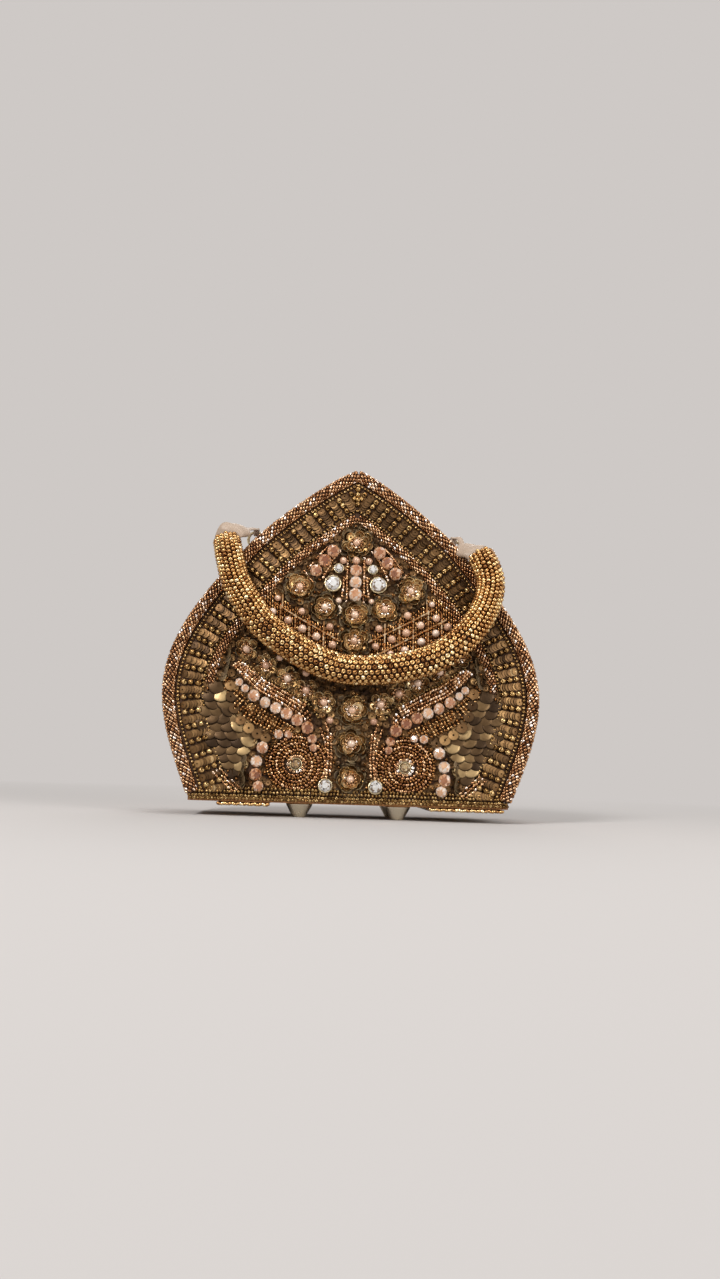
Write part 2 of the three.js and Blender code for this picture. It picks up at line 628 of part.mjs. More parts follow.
// A strap leaves the sleeve's end, bends over to its ring and closes round the top of the wire.
function strapGeometry(hand) {
  const [end, tongue] = hand < 0 ? [0, strap.tongue] : [1, 1 - strap.tongue];
  const mouth = run.getPointAt(end);
  const out = run.getTangentAt(end).multiplyScalar(hand < 0 ? -1 : 1);
  const pivot = new THREE.Vector3(hand * ring.x, 0, pivotHeight);
  const path = new THREE.CatmullRomCurve3([
    run.getPointAt(tongue),
    mouth,
    mouth.clone().addScaledVector(out, 4.5),
    pivot.clone().add(new THREE.Vector3(hand * 4.5, -8, -1.4)),
    pivot.clone().add(new THREE.Vector3(hand * 0.6, -loop.bore - loop.wall / 2, 0)),
  ], false, 'centripetal');
  const steps = 12;
  const sections = [];
  for (let i = 0; i <= steps; i++) {
    const t = i / steps;
    const centre = path.getPointAt(t);
    const tangent = path.getTangentAt(t);
    const flare = THREE.MathUtils.lerp(strap.rootWide, strap.wide, THREE.MathUtils.smoothstep(t, 0.3, 0.55));
    const wide = THREE.MathUtils.lerp(flare, strap.loopWide, THREE.MathUtils.smoothstep(t, 0.65, 1)) / 2;
    const across = new THREE.Vector3(1, 0, 0).addScaledVector(tangent, -tangent.x).normalize();
    across.lerp(new THREE.Vector3(1, 0, 0), THREE.MathUtils.smoothstep(t, 0.6, 1)).normalize();
    const flat = new THREE.Vector3().crossVectors(tangent, across).setLength(strap.thick / 2);
    sections.push([[-1, -1], [1, -1], [1, 1], [-1, 1]].map(([a, b]) =>
      centre.clone().addScaledVector(across, a * wide).addScaledVector(flat, b)));
  }
  const { wall, bore } = sleeveSolid(hand * ring.x, pivotHeight, strap.loopWide);
  return toGeometry(toSolid(loft(sections)).add(wall).subtract(bore));
}
addMesh('handle_strap_left', strapGeometry(-1), colour.strap);
addMesh('handle_strap_right', strapGeometry(1), colour.strap);

// The origin is the middle of the footprint, on the floor.
bag.updateMatrixWorld(true);
const footprint = new THREE.Box3().setFromObject(bag);
const middle = footprint.getCenter(new THREE.Vector3());
bag.position.set(-middle.x, -middle.y, -footprint.min.z);

export default bag;
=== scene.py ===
import math
import bmesh
import bpy
import numpy as np
from mathutils import Matrix, Vector


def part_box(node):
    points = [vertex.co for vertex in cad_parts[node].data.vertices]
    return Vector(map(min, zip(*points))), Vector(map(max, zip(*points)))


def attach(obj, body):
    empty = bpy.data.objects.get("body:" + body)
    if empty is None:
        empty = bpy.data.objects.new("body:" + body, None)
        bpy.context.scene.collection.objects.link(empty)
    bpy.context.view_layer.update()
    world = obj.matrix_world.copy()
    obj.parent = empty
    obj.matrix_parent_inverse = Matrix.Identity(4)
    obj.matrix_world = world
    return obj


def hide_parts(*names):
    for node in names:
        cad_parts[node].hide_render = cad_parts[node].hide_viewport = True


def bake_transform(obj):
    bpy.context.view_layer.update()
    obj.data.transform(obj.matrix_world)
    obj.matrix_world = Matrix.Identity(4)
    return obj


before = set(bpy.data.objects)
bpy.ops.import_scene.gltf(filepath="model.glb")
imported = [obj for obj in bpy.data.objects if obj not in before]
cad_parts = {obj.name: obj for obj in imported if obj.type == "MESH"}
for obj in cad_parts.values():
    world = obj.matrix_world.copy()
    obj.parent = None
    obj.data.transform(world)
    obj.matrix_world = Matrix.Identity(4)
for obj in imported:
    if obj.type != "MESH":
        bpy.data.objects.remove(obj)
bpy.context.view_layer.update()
scene = bpy.context.scene
dice = np.random.default_rng(7)  # layout numbers; each tree has its own seed

# A panel is drawn flat in millimetres: u across, v up from its lower edge, w out of its face.
panel = {"footDepth": 26.0, "topDepth": 7.5, "height": 179.0, "foot": 11.110}
baseLow, baseHigh = (np.array(corner) * 1000 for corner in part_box("base_panel"))
panel["middle"] = float((baseLow[1] + baseHigh[1]) / 2)
lean = math.asin((panel["footDepth"] - panel["topDepth"]) / panel["height"])
panelAxes = np.array([[1, 0, 0], [0, math.sin(lean), math.cos(lean)], [0, -math.cos(lean), math.sin(lean)]])
panelFoot = np.array([0.0, panel["middle"] - panel["footDepth"], panel["foot"]])


def onFront(flat):  # panel millimetres to the frame's metres
    return (panelFoot + np.atleast_2d(flat) @ panelAxes) * 0.001


def unit(rows):
    return rows / np.maximum(np.linalg.norm(rows, axis=-1, keepdims=True), 1e-12)


def tint(red, green, blue):  # a colour as read from a picture, 0 to 255, made linear
    shares = np.array([red, green, blue]) / 255
    linear = np.where(shares <= 0.04045, shares / 12.92, ((shares + 0.055) / 1.055) ** 2.4)
    return (*linear.tolist(), 1.0)


# The front's right-hand edge, from its foot to the point.
edge = {
    "foot": (83.5, 0), "flare": 0.4, "belly": (98.7, 54), "bellyReach": 30,
    "shoulder": (57.3, 134), "shoulderSlope": 0.81, "shoulderReach": 24, "apexHalf": 14, "apexDrop": 5,
}


def bezier(a, b, c, d, count=240):
    t = np.linspace(0, 1, count)[:, None]
    a, b, c, d = (np.array(p, float) for p in (a, b, c, d))
    return a * (1 - t) ** 3 + 3 * b * t * (1 - t) ** 2 + 3 * c * t * t * (1 - t) + d * t**3


def edgeCurve():
    third = edge["belly"][1] / 3
    (fx, fy), (bx, by), (sx, sy) = edge["foot"], edge["belly"], edge["shoulder"]
    reach, slope = edge["shoulderReach"], edge["shoulderSlope"]
    low = bezier((fx, fy), (fx + edge["flare"] * third, third), (bx, 2 * third), (bx, by))
    mid = bezier((bx, by), (bx, by + edge["bellyReach"]), (sx + slope * reach, sy - reach), (sx, sy))
    top = bezier((sx, sy), (sx - slope * reach / 2, sy + reach / 2),
                 (edge["apexHalf"], panel["height"] - edge["apexDrop"]), (0, panel["height"]))
    return np.concatenate([low, mid[1:], top[1:]])


def atRun(rows, run, at):  # what rows along a line say at given distances
    return np.stack([np.interp(at, run, rows[:, k]) for k in range(rows.shape[1])], -1)


def resampled(line, pitch):  # evenly spaced points and tangents along a polyline, and where they lie on it
    steps = np.linalg.norm(np.diff(line, axis=0), axis=1)
    run = np.concatenate([[0], np.cumsum(steps)])
    count = max(int(round(run[-1] / pitch)), 1) + 1
    at = np.linspace(0, run[-1], count)
    points = atRun(line, run, at)
    return points, unit(np.gradient(points, axis=0)), at


# The right-hand edge moved inward, from its foot at low up to a gap from the middle.
def edgeLine(inset, pitch, low=0.0, gap=0.0):
    line = edgeCurve()
    way = unit(np.gradient(line, axis=0))
    moved = line + inset * np.stack([-way[:, 1], way[:, 0]], 1)
    if moved[0, 1] > low:
        moved = np.concatenate([[moved[0] - way[0] * (moved[0, 1] - low) / way[0, 1]], moved])
    moved = moved[(moved[:, 0] >= gap) & (moved[:, 1] >= low - 1e-6)]
    points, tangents, run = resampled(moved, pitch)
    return points, tangents, np.stack([-tangents[:, 1], tangents[:, 0]], 1), run


# Meshes and their pieces.
def meshFrom(name, verts, faces, smooth=False):
    mesh = bpy.data.meshes.new(name)
    mesh.from_pydata([tuple(v) for v in verts], [], [tuple(f) for f in faces])
    mesh.update()
    if smooth:
        mesh.polygons.foreach_set("use_smooth", [True] * len(mesh.polygons))
    return mesh


def addObject(name, mesh, material=None):
    obj = bpy.data.objects.new(name, mesh)
    scene.collection.objects.link(obj)
    if material:
        mesh.materials.clear()
        mesh.materials.append(material)
    return obj


def facedOut(mesh):
    work = bmesh.new()
    work.from_mesh(mesh)
    bmesh.ops.remove_doubles(work, verts=work.verts, dist=1e-7)
    bmesh.ops.recalc_face_normals(work, faces=work.faces)
    work.to_mesh(mesh)
    work.free()
    return mesh


def tubeFaces(rings, sides, ring=False):  # quads between rings of points; a ring has no ends
    faces = []
    for i in range(rings if ring else rings - 1):
        for j in range(sides):
            k, n = (j + 1) % sides, ((i + 1) % rings) * sides
            faces.append((i * sides + j, i * sides + k, n + k, n + j))
    if not ring:
        faces += [tuple(range(sides))[::-1], tuple((rings - 1) * sides + j for j in range(sides))]
    return faces


def lathed(name, profile, sides, smooth=True, ring=False):  # r, z pairs turned about z
    angles = 2 * math.pi * np.arange(sides) / sides
    verts = [(r * math.cos(a), r * math.sin(a), z) for r, z in profile for a in angles]
    mesh = meshFrom(name, verts, tubeFaces(len(profile), sides, ring), smooth)
    widest = max(r for r, z in profile)
    rim = mesh.attributes.new("rim", "FLOAT", "POINT")
    rim.data.foreach_set("value", [r / widest for r, z in profile for a in angles])
    return facedOut(mesh)


# Small goods, each one unit wide, with its face or hole along z.
def seedBead():
    profile = [(0.13, -0.2), (0.34, -0.35), (0.5, 0), (0.34, 0.35), (0.13, 0.2)]
    return lathed("seedBead", profile, 8, ring=True)


def squareBead():
    profile = [(0.16, -0.3), (0.44, -0.42), (0.52, -0.2), (0.52, 0.2), (0.44, 0.42), (0.16, 0.3)]
    return lathed("squareBead", profile, 8, ring=True)


def riceBead():  # a longer bead with rounded ends
    return lathed("riceBead", [(0.24, -0.5), (0.46, -0.34), (0.52, 0), (0.46, 0.34), (0.24, 0.5)], 6)


def cutBead():  # a short faceted tube; its length is along z
    return lathed("cutBead", [(0.26, -0.5), (0.5, -0.4), (0.5, 0.4), (0.26, 0.5)], 6, smooth=False)


def flatSequin():
    profile = [(0.1, -0.012), (0.5, -0.03), (0.5, 0.0), (0.1, 0.03)]
    return lathed("flatSequin", profile, 12, smooth=False, ring=True)


def cupSequin():
    profile = [(0.1, -0.03), (0.3, 0.0), (0.5, 0.13), (0.49, 0.17), (0.3, 0.045), (0.1, 0.02)]
    return lathed("cupSequin", profile, 10, smooth=False, ring=True)


def scaleSequin():
    profile = [(0.02, -0.02), (0.3, -0.035), (0.47, -0.055), (0.5, -0.035), (0.47, -0.018), (0.3, 0.01),
               (0.02, 0.03)]
    return lathed("scaleSequin", profile, 20)


# Rows of triangles, each row turned half a step. Every facet carries a random shade, which the crystal
# finishes paint as reflections and highlights.
def faceted(name, profile, sides, seed):
    verts, faces = [], []
    for i, (r, z) in enumerate(profile):
        for j in range(sides):
            angle = 2 * math.pi * (j + 0.5 * (i % 2)) / sides
            verts.append((r * math.cos(angle), r * math.sin(angle), z))
    for i in range(len(profile) - 1):
        low, high, turned = i * sides, (i + 1) * sides, i % 2
        for j in range(sides):
            k = (j + 1) % sides
            tip, other = (high + k, high + j) if turned else (high + j, high + k)
            faces.append((low + j, low + k, tip))
            faces.append((low + j, tip, other) if turned else (low + k, other, tip))
    faces += [tuple(range(sides))[::-1], tuple((len(profile) - 1) * sides + j for j in range(sides))]
    mesh = facedOut(meshFrom(name, verts, faces))
    facetReflections = np.random.default_rng(seed).uniform(0, 1, len(mesh.polygons))
    mesh.attributes.new("facet", "FLOAT", "FACE").data.foreach_set("value", facetReflections)
    return mesh


def rondelle():
    profile = [(0.2, -0.34), (0.44, -0.2), (0.5, 0), (0.45, 0.18), (0.24, 0.34)]
    return faceted("rondelle", profile, 8, seed=3)


def pearlShape():
    profile = [(0.5 * math.cos(a), 0.5 * math.sin(a)) for a in np.radians([-80, -52, -26, 0, 26, 52, 80])]
    return lathed("pearlShape", profile, 12)


def cutStone():
    profile = [(0.2, -0.3), (0.47, -0.04), (0.47, 0.03), (0.37, 0.17), (0.22, 0.25)]
    return faceted("cutStone", profile, 8, seed=4)


def stoneCup():
    return lathed("stoneCup", [(0.3, -0.3), (0.47, -0.26), (0.53, 0.02), (0.46, 0.06), (0.44, -0.02)], 12)


def link(tree, source, target):
    tree.links.new(source, target)


def mathNode(tree, operation, first, second):
    node = tree.nodes.new("ShaderNodeMath")
    node.operation = operation
    for place, value in ((0, first), (1, second)):
        if isinstance(value, (int, float)):
            node.inputs[place].default_value = value
        else:
            link(tree, value, node.inputs[place])
    return node.outputs[0]


def centred(tree, source, reach):  # a share of 0 to 1 made to swing about nought
    return mathNode(tree, "MULTIPLY", mathNode(tree, "SUBTRACT", source, 0.5), reach)


def numberSocket(sockets, name=""):  # the socket for a plain number, among those that share a node
    return [s for s in sockets if s.type == "VALUE" and (not name or s.name == name)][0]


# What the sewing tree takes in. It sets a shape at each point of a layout, turned, sized and toned by
# the point's own values.
treeInputs = {"Geometry": "Geometry", "Piece": "Object", "Finish": "Material", "Size Spread": "Float",
              "Tilt Spread": "Float", "Tone Spread": "Float", "Seed": "Int"}


def sewingTree():
    tree = bpy.data.node_groups.new("sewnPieces", "GeometryNodeTree")
    face = tree.interface
    face.new_socket("Geometry", in_out="OUTPUT", socket_type="NodeSocketGeometry")
    for label, kind in treeInputs.items():
        face.new_socket(label, in_out="INPUT", socket_type=f"NodeSocket{kind}")
    nodes = tree.nodes
    given, made = nodes.new("NodeGroupInput"), nodes.new("NodeGroupOutput")

    def named(kind, label):
        node = nodes.new("GeometryNodeInputNamedAttribute")
        node.data_type = kind
        node.inputs["Name"].default_value = label
        return node.outputs[0]

    def anyNumber(spread, offset, centre=0.0):  # offset keeps one use's numbers apart from the next one's
        node = nodes.new("FunctionNodeRandomValue")
        node.data_type = "FLOAT"
        for label, operation in (("Min", "SUBTRACT"), ("Max", "ADD")):
            link(tree, mathNode(tree, operation, centre, spread), numberSocket(node.inputs, label))
        link(tree, mathNode(tree, "ADD", given.outputs["Seed"], offset), node.inputs["Seed"])
        return numberSocket(node.outputs)

    shape = nodes.new("GeometryNodeObjectInfo")
    link(tree, given.outputs["Piece"], shape.inputs["Object"])
    placed = nodes.new("GeometryNodeInstanceOnPoints")
    link(tree, given.outputs["Geometry"], placed.inputs["Points"])
    link(tree, shape.outputs["Geometry"], placed.inputs["Instance"])
    turn = nodes.new("FunctionNodeEulerToRotation")
    link(tree, named("FLOAT_VECTOR", "turn"), turn.inputs[0])
    tilt = nodes.new("ShaderNodeCombineXYZ")
    for k in range(3):
        link(tree, anyNumber(given.outputs["Tilt Spread"], 10 + k), tilt.inputs[k])
    tiltTurn = nodes.new("FunctionNodeEulerToRotation")
    link(tree, tilt.outputs[0], tiltTurn.inputs[0])
    turned = nodes.new("FunctionNodeRotateRotation")
    turned.rotation_space = "LOCAL"
    link(tree, turn.outputs[0], turned.inputs[0])
    link(tree, tiltTurn.outputs[0], turned.inputs[1])
    link(tree, turned.outputs[0], placed.inputs["Rotation"])
    scaled = nodes.new("ShaderNodeVectorMath")
    scaled.operation = "SCALE"
    link(tree, named("FLOAT_VECTOR", "size"), scaled.inputs[0])
    link(tree, anyNumber(given.outputs["Size Spread"], 20, 1.0), scaled.inputs["Scale"])
    link(tree, scaled.outputs[0], placed.inputs["Scale"])
    toned = nodes.new("GeometryNodeStoreNamedAttribute")
    toned.data_type, toned.domain = "FLOAT", "INSTANCE"
    toned.inputs["Name"].default_value = "tone"
    link(tree, placed.outputs[0], toned.inputs["Geometry"])
    tone = mathNode(tree, "ADD", named("FLOAT", "tone"), anyNumber(given.outputs["Tone Spread"], 30))
    link(tree, tone, numberSocket(toned.inputs, "Value"))
    real = nodes.new("GeometryNodeRealizeInstances")
    link(tree, toned.outputs[0], real.inputs[0])
    finish = nodes.new("GeometryNodeSetMaterial")
    link(tree, real.outputs[0], finish.inputs["Geometry"])
    link(tree, given.outputs["Finish"], finish.inputs["Material"])
    link(tree, finish.outputs[0], made.inputs[0])
    return tree


sewing = sewingTree()
shapes = {}


def shapeNamed(maker):
    if maker.__name__ not in shapes:
        shapes[maker.__name__] = addObject(maker.__name__, maker())
    return shapes[maker.__name__]


def eulers(along, facing):  # x runs along, z faces out
    z = unit(facing)
    x = unit(along - np.sum(along * z, 1, keepdims=True) * z)
    y = np.cross(z, x)
    rise = -np.arcsin(np.clip(x[:, 2], -1, 1))
    return np.stack([np.arctan2(y[:, 2], z[:, 2]), rise, np.arctan2(x[:, 1], x[:, 0])], 1)


def layout(place, along, facing, size=1.0, tone=0.5):  # rows in panel millimetres
    place = np.atleast_2d(np.asarray(place, float))
    rows = {"place": place}
    for key, value, width in (("along", along, 3), ("facing", facing, 3), ("size", size, 3),
                              ("tone", np.reshape(tone, (-1, 1)), 1)):
        rows[key] = np.broadcast_to(np.asarray(value, float), (len(place), width)).copy()
    rows["tone"] = rows["tone"][:, 0]
    return rows


def merged(*layouts):
    return {key: np.concatenate([item[key] for item in layouts]) for key in layouts[0]}


def bothSides(given):  # adds the mirror image of all that is off the middle
    away = np.abs(given["place"][:, 0]) > 0.05
    flip = {key: rows[away].copy() for key, rows in given.items()}
    for key in ("place", "along", "facing"):
        flip[key][:, 0] *= -1
    return merged(given, flip)


def sewn(name, given, maker, finish, seed, sizeSpread=0.05, tiltSpread=0.06, toneSpread=0.3, inPanel=True):
    mesh = bpy.data.meshes.new(name)
    mesh.vertices.add(len(given["place"]))
    place = onFront(given["place"]) if inPanel else given["place"]
    turn = [(given[key] @ panelAxes if inPanel else given[key]) for key in ("along", "facing")]
    mesh.vertices.foreach_set("co", place.ravel())
    for label, rows in (("turn", eulers(*turn)), ("size", given["size"] * 0.001)):
        mesh.attributes.new(label, "FLOAT_VECTOR", "POINT").data.foreach_set("vector", rows.ravel())
    mesh.attributes.new("tone", "FLOAT", "POINT").data.foreach_set("value", given["tone"])
    obj = addObject(name, mesh)
    modifier = obj.modifiers.new("sewing", "NODES")
    modifier.node_group = sewing
    values = {"Piece": shapeNamed(maker), "Finish": finish, "Size Spread": sizeSpread,
              "Tilt Spread": tiltSpread, "Tone Spread": toneSpread, "Seed": seed}
    for item in sewing.interface.items_tree:
        if item.in_out == "INPUT" and item.name in values:
            modifier[item.identifier] = values[item.name]
    bpy.context.view_layer.update()
    seen = obj.evaluated_get(bpy.context.evaluated_depsgraph_get())
    made = bpy.data.meshes.new_from_object(seen)
    obj.modifiers.remove(modifier)
    obj.data = made
    made.name = name
    for label in ("turn", "size"):
        if label in made.attributes:
            made.attributes.remove(made.attributes[label])
    return obj


def joined(name, *objects):
    if len(objects) > 1:
        with bpy.context.temp_override(active_object=objects[0], selected_editable_objects=list(objects)):
            bpy.ops.object.join()
    objects[0].name = objects[0].data.name = name
    return objects[0]


outward = np.array([0.0, 0.0, 1.0])


def raised(flat, w=0.0):  # u, v rows given a height over the panel
    return np.concatenate([flat, np.full((len(flat), 1), float(w))], 1)


# Beads along a line: the hole along it, leaning up from it, or facing out.
def strung(line, pitch, size, w, axis="along", tone=0.5, wobble=0.0):
    points, tangents, _ = resampled(raised(np.asarray(line, float), w), pitch)
    points = points + dice.normal(0, wobble, points.shape)
    if axis == "face":
        return layout(points, tangents, outward, size, tone)
    facing = tangents if axis == "along" else unit(tangents * 0.85 + outward * 0.5)
    return layout(points, np.cross(outward, tangents), facing, size, tone)


# Finishes.
def newFinish(name):
    material = bpy.data.materials.new(name)
    material.use_nodes = True
    tree = material.node_tree
    tree.nodes.clear()
    shader = tree.nodes.new("ShaderNodeBsdfPrincipled")
    made = tree.nodes.new("ShaderNodeOutputMaterial")
    link(tree, shader.outputs[0], made.inputs[0])
    return material, tree, shader


def ramp(tree, source, stops):
    node = tree.nodes.new("ShaderNodeValToRGB")
    while len(node.color_ramp.elements) < len(stops):
        node.color_ramp.elements.new(0.5)
    for element, (at, colour) in zip(node.color_ramp.elements, stops):
        element.position, element.color = at, tint(*colour)
    link(tree, source, node.inputs[0])
    return node.outputs[0]


def noise(tree, scale, detail=3.0, stretch=None, roughness=0.5):
    where = tree.nodes.new("ShaderNodeTexCoord").outputs["Object"]
    if stretch:
        bent = tree.nodes.new("ShaderNodeMapping")
        bent.inputs["Scale"].default_value = stretch
        link(tree, where, bent.inputs[0])
        where = bent.outputs[0]
    node = tree.nodes.new("ShaderNodeTexNoise")
    node.inputs["Scale"].default_value = scale
    node.inputs["Detail"].default_value = detail
    node.inputs["Roughness"].default_value = roughness
    link(tree, where, node.inputs["Vector"])
    return node.outputs[0]


def ranged(tree, source, low, high, fromLow=0.0, fromHigh=1.0):
    node = tree.nodes.new("ShaderNodeMapRange")
    for label, value in (("From Min", fromLow), ("From Max", fromHigh), ("To Min", low), ("To Max", high)):
        node.inputs[label].default_value = value
    link(tree, source, node.inputs["Value"])
    return node.outputs[0]


def attribute(tree, label):
    node = tree.nodes.new("ShaderNodeAttribute")
    node.attribute_name = label
    return node.outputs["Fac"]


def mixed(tree, share, first, second):
    node = tree.nodes.new("ShaderNodeMix")
    node.data_type = "RGBA"
    places = [s for s in node.inputs if s.type == "RGBA"]
    for place, value in ((places[0], first), (places[1], second)):
        if isinstance(value, tuple):
            place.default_value = value
        else:
            link(tree, value, place)
    if isinstance(share, (int, float)):
        node.inputs[0].default_value = share
    else:
        link(tree, share, node.inputs[0])
    return [s for s in node.outputs if s.type == "RGBA"][0]


def bumped(tree, shader, source, strength, distance):
    node = tree.nodes.new("ShaderNodeBump")
    node.inputs["Strength"].default_value = strength
    node.inputs["Distance"].default_value = distance
    link(tree, source, node.inputs["Height"])
    link(tree, node.outputs[0], shader.inputs["Normal"])


def beadFinish(name, stops, roughness=(0.16, 0.34), metallic=1.0, coat=0.0, rim=None, cloud=0.25):
    material, tree, shader = newFinish(name)
    drift = centred(tree, noise(tree, 90, 2), cloud)
    colour = ramp(tree, mathNode(tree, "ADD", attribute(tree, "tone"), drift), stops)
    # Near each piece's rim the colour is mixed toward a painted rim colour: a painted highlight for the
    # petal and smoky sequins, a painted shade for the olive and satin sequins.
    if rim:
        *paintedRimColour, share = rim
        paintedRimShare = ranged(tree, attribute(tree, "rim"), 0.0, share, 0.84, 1.0)
        colour = mixed(tree, paintedRimShare, colour, tint(*paintedRimColour))
    link(tree, colour, shader.inputs["Base Color"])
    link(tree, ranged(tree, noise(tree, 700, 2), *roughness, 0.3, 0.7), shader.inputs["Roughness"])
    shader.inputs["Metallic"].default_value = metallic
    shader.inputs["Coat Weight"].default_value = coat
    shader.inputs["Coat Roughness"].default_value = 0.08
    bumped(tree, shader, noise(tree, 1500, 2), 0.12, 0.0001)
    return material


# Stops from dark to light for each finish. The near-white top stops of the gold bead, bugle and peach
# crystal finishes are painted glints and highlights on the pieces whose tone reaches them, and the darkest
# stops of the gold bead finishes stand partly for painted shade between beads.
finishes = {
    "roseGold": [(0.0, (100, 62, 36)), (0.42, (164, 120, 82)), (0.75, (212, 174, 134)),
                 (1.0, (255, 248, 242))],
    "yellowGold": [(0.0, (124, 82, 46)), (0.35, (188, 142, 88)), (0.75, (224, 186, 128)),
                   (1.0, (252, 230, 182))],
    "oliveBead": [(0.0, (98, 72, 40)), (0.5, (162, 128, 80)), (1.0, (214, 184, 130))],
    "oliveSequin": [(0.0, (68, 48, 28)), (0.5, (118, 87, 53)), (0.85, (168, 132, 86)),
                    (1.0, (218, 190, 142))],
    "petalGold": [(0.0, (66, 44, 24)), (0.45, (128, 95, 56)), (0.8, (194, 158, 106)),
                  (1.0, (246, 228, 184))],
    "smoke": [(0.0, (50, 37, 24)), (0.6, (96, 75, 48)), (1.0, (144, 120, 84))],
    "satinScale": [(0.0, (54, 39, 25)), (0.5, (88, 66, 42)), (0.85, (118, 93, 61)),
                   (1.0, (178, 150, 106))],
    "brownBead": [(0.0, (88, 54, 28)), (0.5, (156, 110, 64)), (1.0, (222, 182, 128))],
    "bugleGold": [(0.0, (160, 104, 58)), (0.5, (216, 164, 108)), (1.0, (255, 236, 200))],
    "peach": [(0.0, (144, 82, 44)), (0.26, (210, 142, 94)), (0.58, (244, 192, 148)),
              (0.92, (255, 240, 224))],
    # The clear stones' brown stops are painted reflections of the gold round them, and their white stops
    # painted highlights.
    "clear": [(0.0, (58, 42, 28)), (0.35, (148, 122, 94)), (0.6, (216, 212, 206)),
              (0.9, (255, 255, 255))],
    "pearl": [(0.0, (166, 118, 88)), (0.5, (222, 180, 150)), (1.0, (250, 232, 214))],
}
roseGold = beadFinish("roseGoldBeads", finishes["roseGold"], (0.1, 0.3))
yellowGold = beadFinish("yellowGoldBeads", finishes["yellowGold"], (0.14, 0.32))
oliveBead = beadFinish("oliveGoldBeads", finishes["oliveBead"], (0.2, 0.38))
# painted shade at the rims of the olive sequins
oliveSequin = beadFinish("oliveSequins", finishes["oliveSequin"], (0.38, 0.56), 0.8, rim=(44, 30, 16, 0.5))
# painted highlights at the rims of the petal and smoky sequins
petalGold = beadFinish("petalSequins", finishes["petalGold"], (0.2, 0.36), 0.9, rim=(255, 236, 188, 0.85))
smoke = beadFinish("smokySequins", finishes["smoke"], (0.28, 0.46), 0.6, 0.3, rim=(178, 156, 114, 0.5))
# painted shade at the rims of the satin scale sequins
satinScale = beadFinish("satinSequins", finishes["satinScale"], (0.32, 0.5), 0.82, rim=(30, 20, 12, 0.85),
                        cloud=0.6)
brownBead = beadFinish("brownGoldBeads", finishes["brownBead"], (0.14, 0.32))


def crystalFinish(name, stops, see, roughness):
    material, tree, shader = newFinish(name)
    # the random facet shades are painted reflections and highlights inside the crystal
    paintedFacetLight = centred(tree, attribute(tree, "facet"), 0.95)
    cloud = centred(tree, noise(tree, 420, 3), 0.6)
    tone = mathNode(tree, "ADD", mathNode(tree, "ADD", attribute(tree, "tone"), cloud), paintedFacetLight)
    link(tree, ramp(tree, tone, stops), shader.inputs["Base Color"])
    link(tree, ranged(tree, noise(tree, 500, 2), *roughness), shader.inputs["Roughness"])
    shader.inputs["Transmission Weight"].default_value = see
    shader.inputs["IOR"].default_value = 1.55
    shader.inputs["Coat Weight"].default_value = 1.0
    shader.inputs["Coat Roughness"].default_value = 0.03
    return material


peach = crystalFinish("peachCrystal", finishes["peach"], 0.3, (0.04, 0.16))
clear = crystalFinish("clearStone", finishes["clear"], 0.3, (0.02, 0.08))
smokyStone = crystalFinish("smokyStone", finishes["petalGold"], 0.3, (0.02, 0.1))


def pearlFinish():
    material, tree, shader = newFinish("pinkPearl")
    cloud = centred(tree, noise(tree, 300, 3), 0.5)
    colour = ramp(tree, mathNode(tree, "ADD", attribute(tree, "tone"), cloud), finishes["pearl"])
    link(tree, colour, shader.inputs["Base Color"])
    link(tree, ranged(tree, noise(tree, 900, 2), 0.1, 0.28), shader.inputs["Roughness"])
    shader.inputs["Metallic"].default_value = 0.15
    shader.inputs["Coat Weight"].default_value = 0.8
    shader.inputs["Coat Roughness"].default_value = 0.12
    return material


pearl = pearlFinish()


def clothFinish(name, low, high, weave, rough, sheen=0.0, bump=0.4):
    material, tree, shader = newFinish(name)
    patches = noise(tree, 45, 4)
    strokes = noise(tree, 260, 4, (1, 1, 0.35), 0.65)
    threads = noise(tree, weave, 2, (1, 1, 1.2))
    brushed = mathNode(tree, "MULTIPLY", patches, 0.25)
    brushed = mathNode(tree, "ADD", brushed, mathNode(tree, "MULTIPLY", strokes, 0.4))
    share = mathNode(tree, "ADD", brushed, mathNode(tree, "MULTIPLY", threads, 0.35))
    colour = mixed(tree, ranged(tree, share, 0, 1, 0.3, 0.7), tint(*low), tint(*high))
    link(tree, colour, shader.inputs["Base Color"])
    link(tree, ranged(tree, threads, rough - 0.1, min(rough + 0.08, 1.0)), shader.inputs["Roughness"])
    shader.inputs["Sheen Weight"].default_value = sheen
    shader.inputs["Sheen Roughness"].default_value = 0.4
    shader.inputs["Sheen Tint"].default_value = tint(*high)
    bumped(tree, shader, threads, bump, 0.0003)
    return material


velvet = clothFinish("tanVelvet", (108, 66, 32), (158, 110, 62), 1400, 0.9, 0.4)
# the ground cloth's dark brown is partly its own colour and partly painted shade between the beads and
# sequins on it
groundCloth = clothFinish("groundCloth", (50, 30, 16), (90, 58, 30), 1800, 0.85)
# a dark cloth under beads, painted shade in the gaps between them
gapShadeCloth = clothFinish("gapShadeCloth", (48, 25, 10), (90, 52, 22), 1500, 0.8)
satin = clothFinish("satinLining", (196, 170, 124), (226, 204, 162), 2200, 0.5, 0.3, 0.15)
boardCloth = clothFinish("boardCloth", (92, 58, 30), (134, 92, 54), 900, 0.9, 0.0, 0.2)
coreCord = clothFinish("coreCord", (206, 194, 170), (236, 226, 206), 900, 0.95, 0.2)
softLeather = clothFinish("softLeather", (160, 138, 118), (188, 166, 146), 1100, 0.5, 0.15, 0.12)


